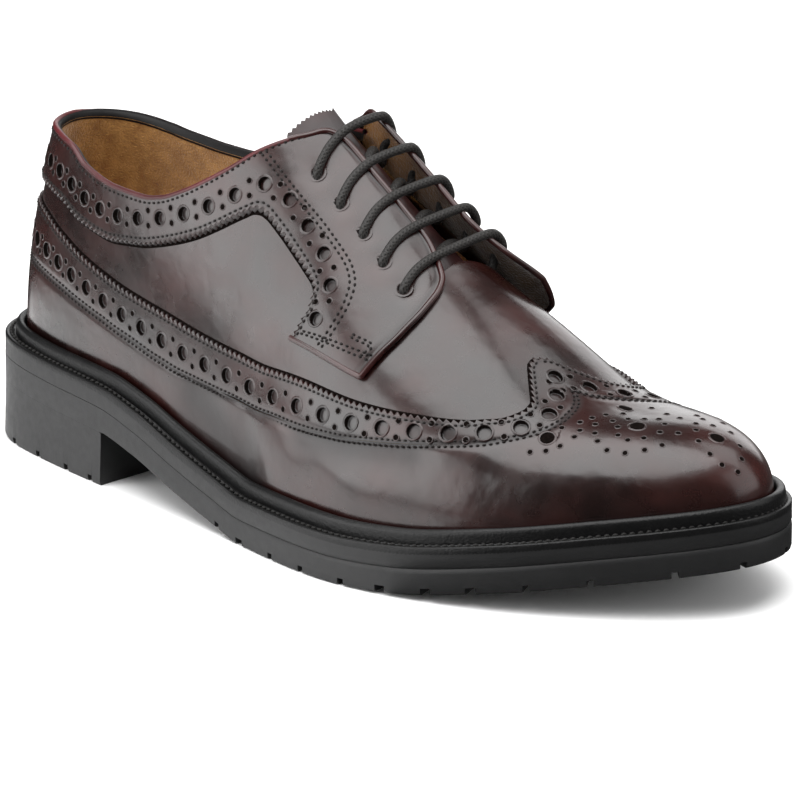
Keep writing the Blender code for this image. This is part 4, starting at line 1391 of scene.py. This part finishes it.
# Lace
# A round waxed cord, braided, laced in five straight bars over the facings.
# Slanted runs beneath the facings lead from bar to bar.
LACE_RADIUS = 1.45
LACE_UNDER = -2.6
BRAID_STRANDS = 6
BRAID_PITCH = 1.5
lace_knots = []
for number in range(len(EYELETS) - 1, -1, -1):
    station, share = EYELETS[number]
    far = 2 - share
    # share and swell: up through the far eyelet, over the sprung facing, across, down through the near one
    knots = [(far, LACE_UNDER), (far, 1.5), (far - 0.01, 4.0), (1.27, 7.2), (1.245, 9.2), (1.20, 10.2)]
    knots += [(1.15, 9.2), (0.92, 3.2), (0.84, 2.9), (share + 0.08, 2.7), (share + 0.035, 2.2)]
    knots += [(share + 0.004, 1.5), (share - 0.006, 0.2), (share - 0.004, LACE_UNDER)]
    for q, swell in knots:
        ahead = 0.008 * np.clip((q - 0.8) / 0.35, 0, 1) * (q < 1.28)
        lace_knots.append(skin(station + ahead, q, swell))
    if number:
        above = EYELETS[number - 1][0]
        for part in (0.15, 0.5, 0.85):
            q = share + 0.055 + (2 - 2 * share - 0.11) * part
            lace_knots.append(skin(station + (above - station) * part, q, LACE_UNDER - 0.3))
lace_line = np.array(lace_knots)
# the corners are cut four times, until the line is smooth
for _ in range(4):
    before = lace_line[:-1] * 0.75 + lace_line[1:] * 0.25
    after = lace_line[:-1] * 0.25 + lace_line[1:] * 0.75
    rounded = np.stack([before, after], axis=1).reshape(-1, 3)
    lace_line = np.concatenate([lace_line[:1], rounded, lace_line[-1:]])
# both ends are closed by a last ring of no thickness
lace_ends = 0.02 * (lace_line[[0, -1]] - lace_line[[1, -2]])
lace_line = np.concatenate([lace_line[:1] + lace_ends[:1], lace_line, lace_line[-1:] + lace_ends[1:]])
lace_thick = np.full(len(lace_line), LACE_RADIUS)
lace_thick[[0, -1]] = 0.0
lace_ring = tube(lace_line, np.array([1.0, 0.0, 0.0]), lace_thick, 12)
lace_run = run_of(lace_line)
lace_cord, lace_tree, lace_shader = finish(
    "waxed_cord", (0.022, 0.018, 0.015), 0.5, Sheen_Weight=0.04, Specular_IOR_Level=0.4
)
lace_uv = add(lace_tree, "ShaderNodeUVMap", uv_map="braid")
lace_parts = add(lace_tree, "ShaderNodeSeparateXYZ", [(0, lace_uv.outputs[0])])
strands = []
for hand in (1.0, -1.0):
    twist = calculate(lace_tree, "MULTIPLY", lace_parts.outputs[1], hand * BRAID_STRANDS * 2 * np.pi)
    slant = calculate(lace_tree, "MULTIPLY_ADD", lace_parts.outputs[0], 2 * np.pi / BRAID_PITCH, twist)
    strands.append(calculate(lace_tree, "SINE", slant))
braid = calculate(lace_tree, "MAXIMUM", *strands)
raised_strand = spread(lace_tree, braid, 0.0, 1.0, -0.3, 1.0)
# painted shade: the grooves between the strands darker than the raised strands
braid_colour = blend(lace_tree, raised_strand, (0.004, 0.0034, 0.003), (0.014, 0.012, 0.0105))
lace_tree.links.new(braid_colour, lace_shader.inputs["Base Color"])
bumps(lace_tree, lace_shader, (braid, 0.07), (grain(lace_tree, 0.35), 0.06))
lace_turn = np.linspace(0, 1, lace_ring.shape[1])
lace_map = np.stack(np.broadcast_arrays(lace_run[:, None], lace_turn), axis=-1).reshape(-1, 2)
make("lace_cord", [sheet(lace_ring, flip=True)], lace_cord, "lace", "lace", braid=lace_map)

# Camera
# A long lens far from the shoe, at the photo's angle: on the outer side, toward the toe, a little above.
# It aims at the middle of the shoe, in mm of the last.
AIM = np.array([163.9, 0.0, 37.3])
CAMERA_FAR = 1800.0
LENS = 262.9
azimuth, elevation = np.radians([43.4, 17.0])
back = np.array(
    [np.sin(azimuth) * np.cos(elevation), -np.cos(azimuth) * np.cos(elevation), np.sin(elevation)]
)
camera = bpy.data.objects.new("camera", bpy.data.cameras.new("camera"))
bpy.context.scene.collection.objects.link(camera)
camera.data.lens = LENS
camera.data.sensor_width = 36.0
camera.data.clip_end = 50.0
camera.location = (AIM - CENTRE + CAMERA_FAR * back) * MM
camera.rotation_euler = (np.pi / 2 - elevation, 0.0, azimuth)
bpy.context.scene.camera = camera

# Floor and light
# A plain pale sweep under soft panels: overhead, at the outer side, at the toe and at the inner side.
# Only the part of the floor beside the heel shows in the polish, as in a small dark studio.
floor_finish = finish("pale_floor", (0.9, 0.9, 0.9), 0.7)[0]
corners = np.array([(-6.0, -6.0), (6.0, -6.0), (6.0, 6.0), (-6.0, 6.0)])
patch = np.array([(-0.33, -0.27), (0.06, -0.27), (0.06, 0.02), (-0.33, 0.02)])
floor_points = np.column_stack([np.concatenate([corners, patch]), np.zeros(8)])
floor_faces = {
    "floor": [(0, 1, 5, 4), (1, 2, 6, 5), (2, 3, 7, 6), (3, 0, 4, 7)],
    "floor_beside_heel": [(4, 5, 6, 7)],
}
for name, faces in floor_faces.items():
    floor_mesh = bpy.data.meshes.new(name)
    floor_mesh.from_pydata(floor_points.tolist(), [], faces)
    floor_mesh.materials.append(floor_finish)
    floor = bpy.data.objects.new(name, floor_mesh)
    floor.visible_glossy = name != "floor"
    bpy.context.scene.collection.objects.link(floor)


def softbox(name, direction, rise, distance, width, height, glow, mirrored=True):
    """A glowing panel: its direction round the shoe and over the floor in degrees, sizes in metres."""
    turn, tilt = np.radians([direction, rise])
    away = np.array([np.cos(turn) * np.cos(tilt), np.sin(turn) * np.cos(tilt), np.sin(tilt)])
    panel = bpy.data.lights.new(name, "AREA")
    panel.shape = "RECTANGLE"
    panel.size = width
    panel.size_y = height
    panel.energy = glow * np.pi * width * height
    lamp = bpy.data.objects.new(name, panel)
    lamp.location = distance * away + np.array([0.0, 0.0, 0.03])
    lamp.rotation_euler = (np.pi / 2 - tilt, 0.0, turn + np.pi / 2)
    lamp.visible_glossy = mirrored
    bpy.context.scene.collection.objects.link(lamp)


softbox("overhead_panel", -90.0, 75.0, 1.1, 1.5, 1.15, 4.0)
softbox("overhead_toe_panel", 60.0, 57.0, 1.24, 0.75, 0.6, 2.3)
softbox("overhead_fill", 100.0, 88.0, 1.3, 1.5, 1.7, 1.6, mirrored=False)
softbox("outer_panel", -119.0, 17.0, 0.9, 0.92, 0.62, 3.7)
softbox("toe_panel", 28.0, 24.0, 0.95, 0.9, 0.7, 1.3)
softbox("toe_fill", 10.0, 14.0, 0.9, 0.8, 0.4, 1.6, mirrored=False)
softbox("inner_panel", 122.0, 16.0, 1.3, 1.2, 0.7, 1.7)
world = bpy.data.worlds.new("studio")
world.use_nodes = True
world.node_tree.nodes["Background"].inputs["Color"].default_value = (1, 1, 1, 1)
world.node_tree.nodes["Background"].inputs["Strength"].default_value = 0.06
bpy.context.scene.world = world
bpy.context.scene.view_settings.view_transform = "Standard"
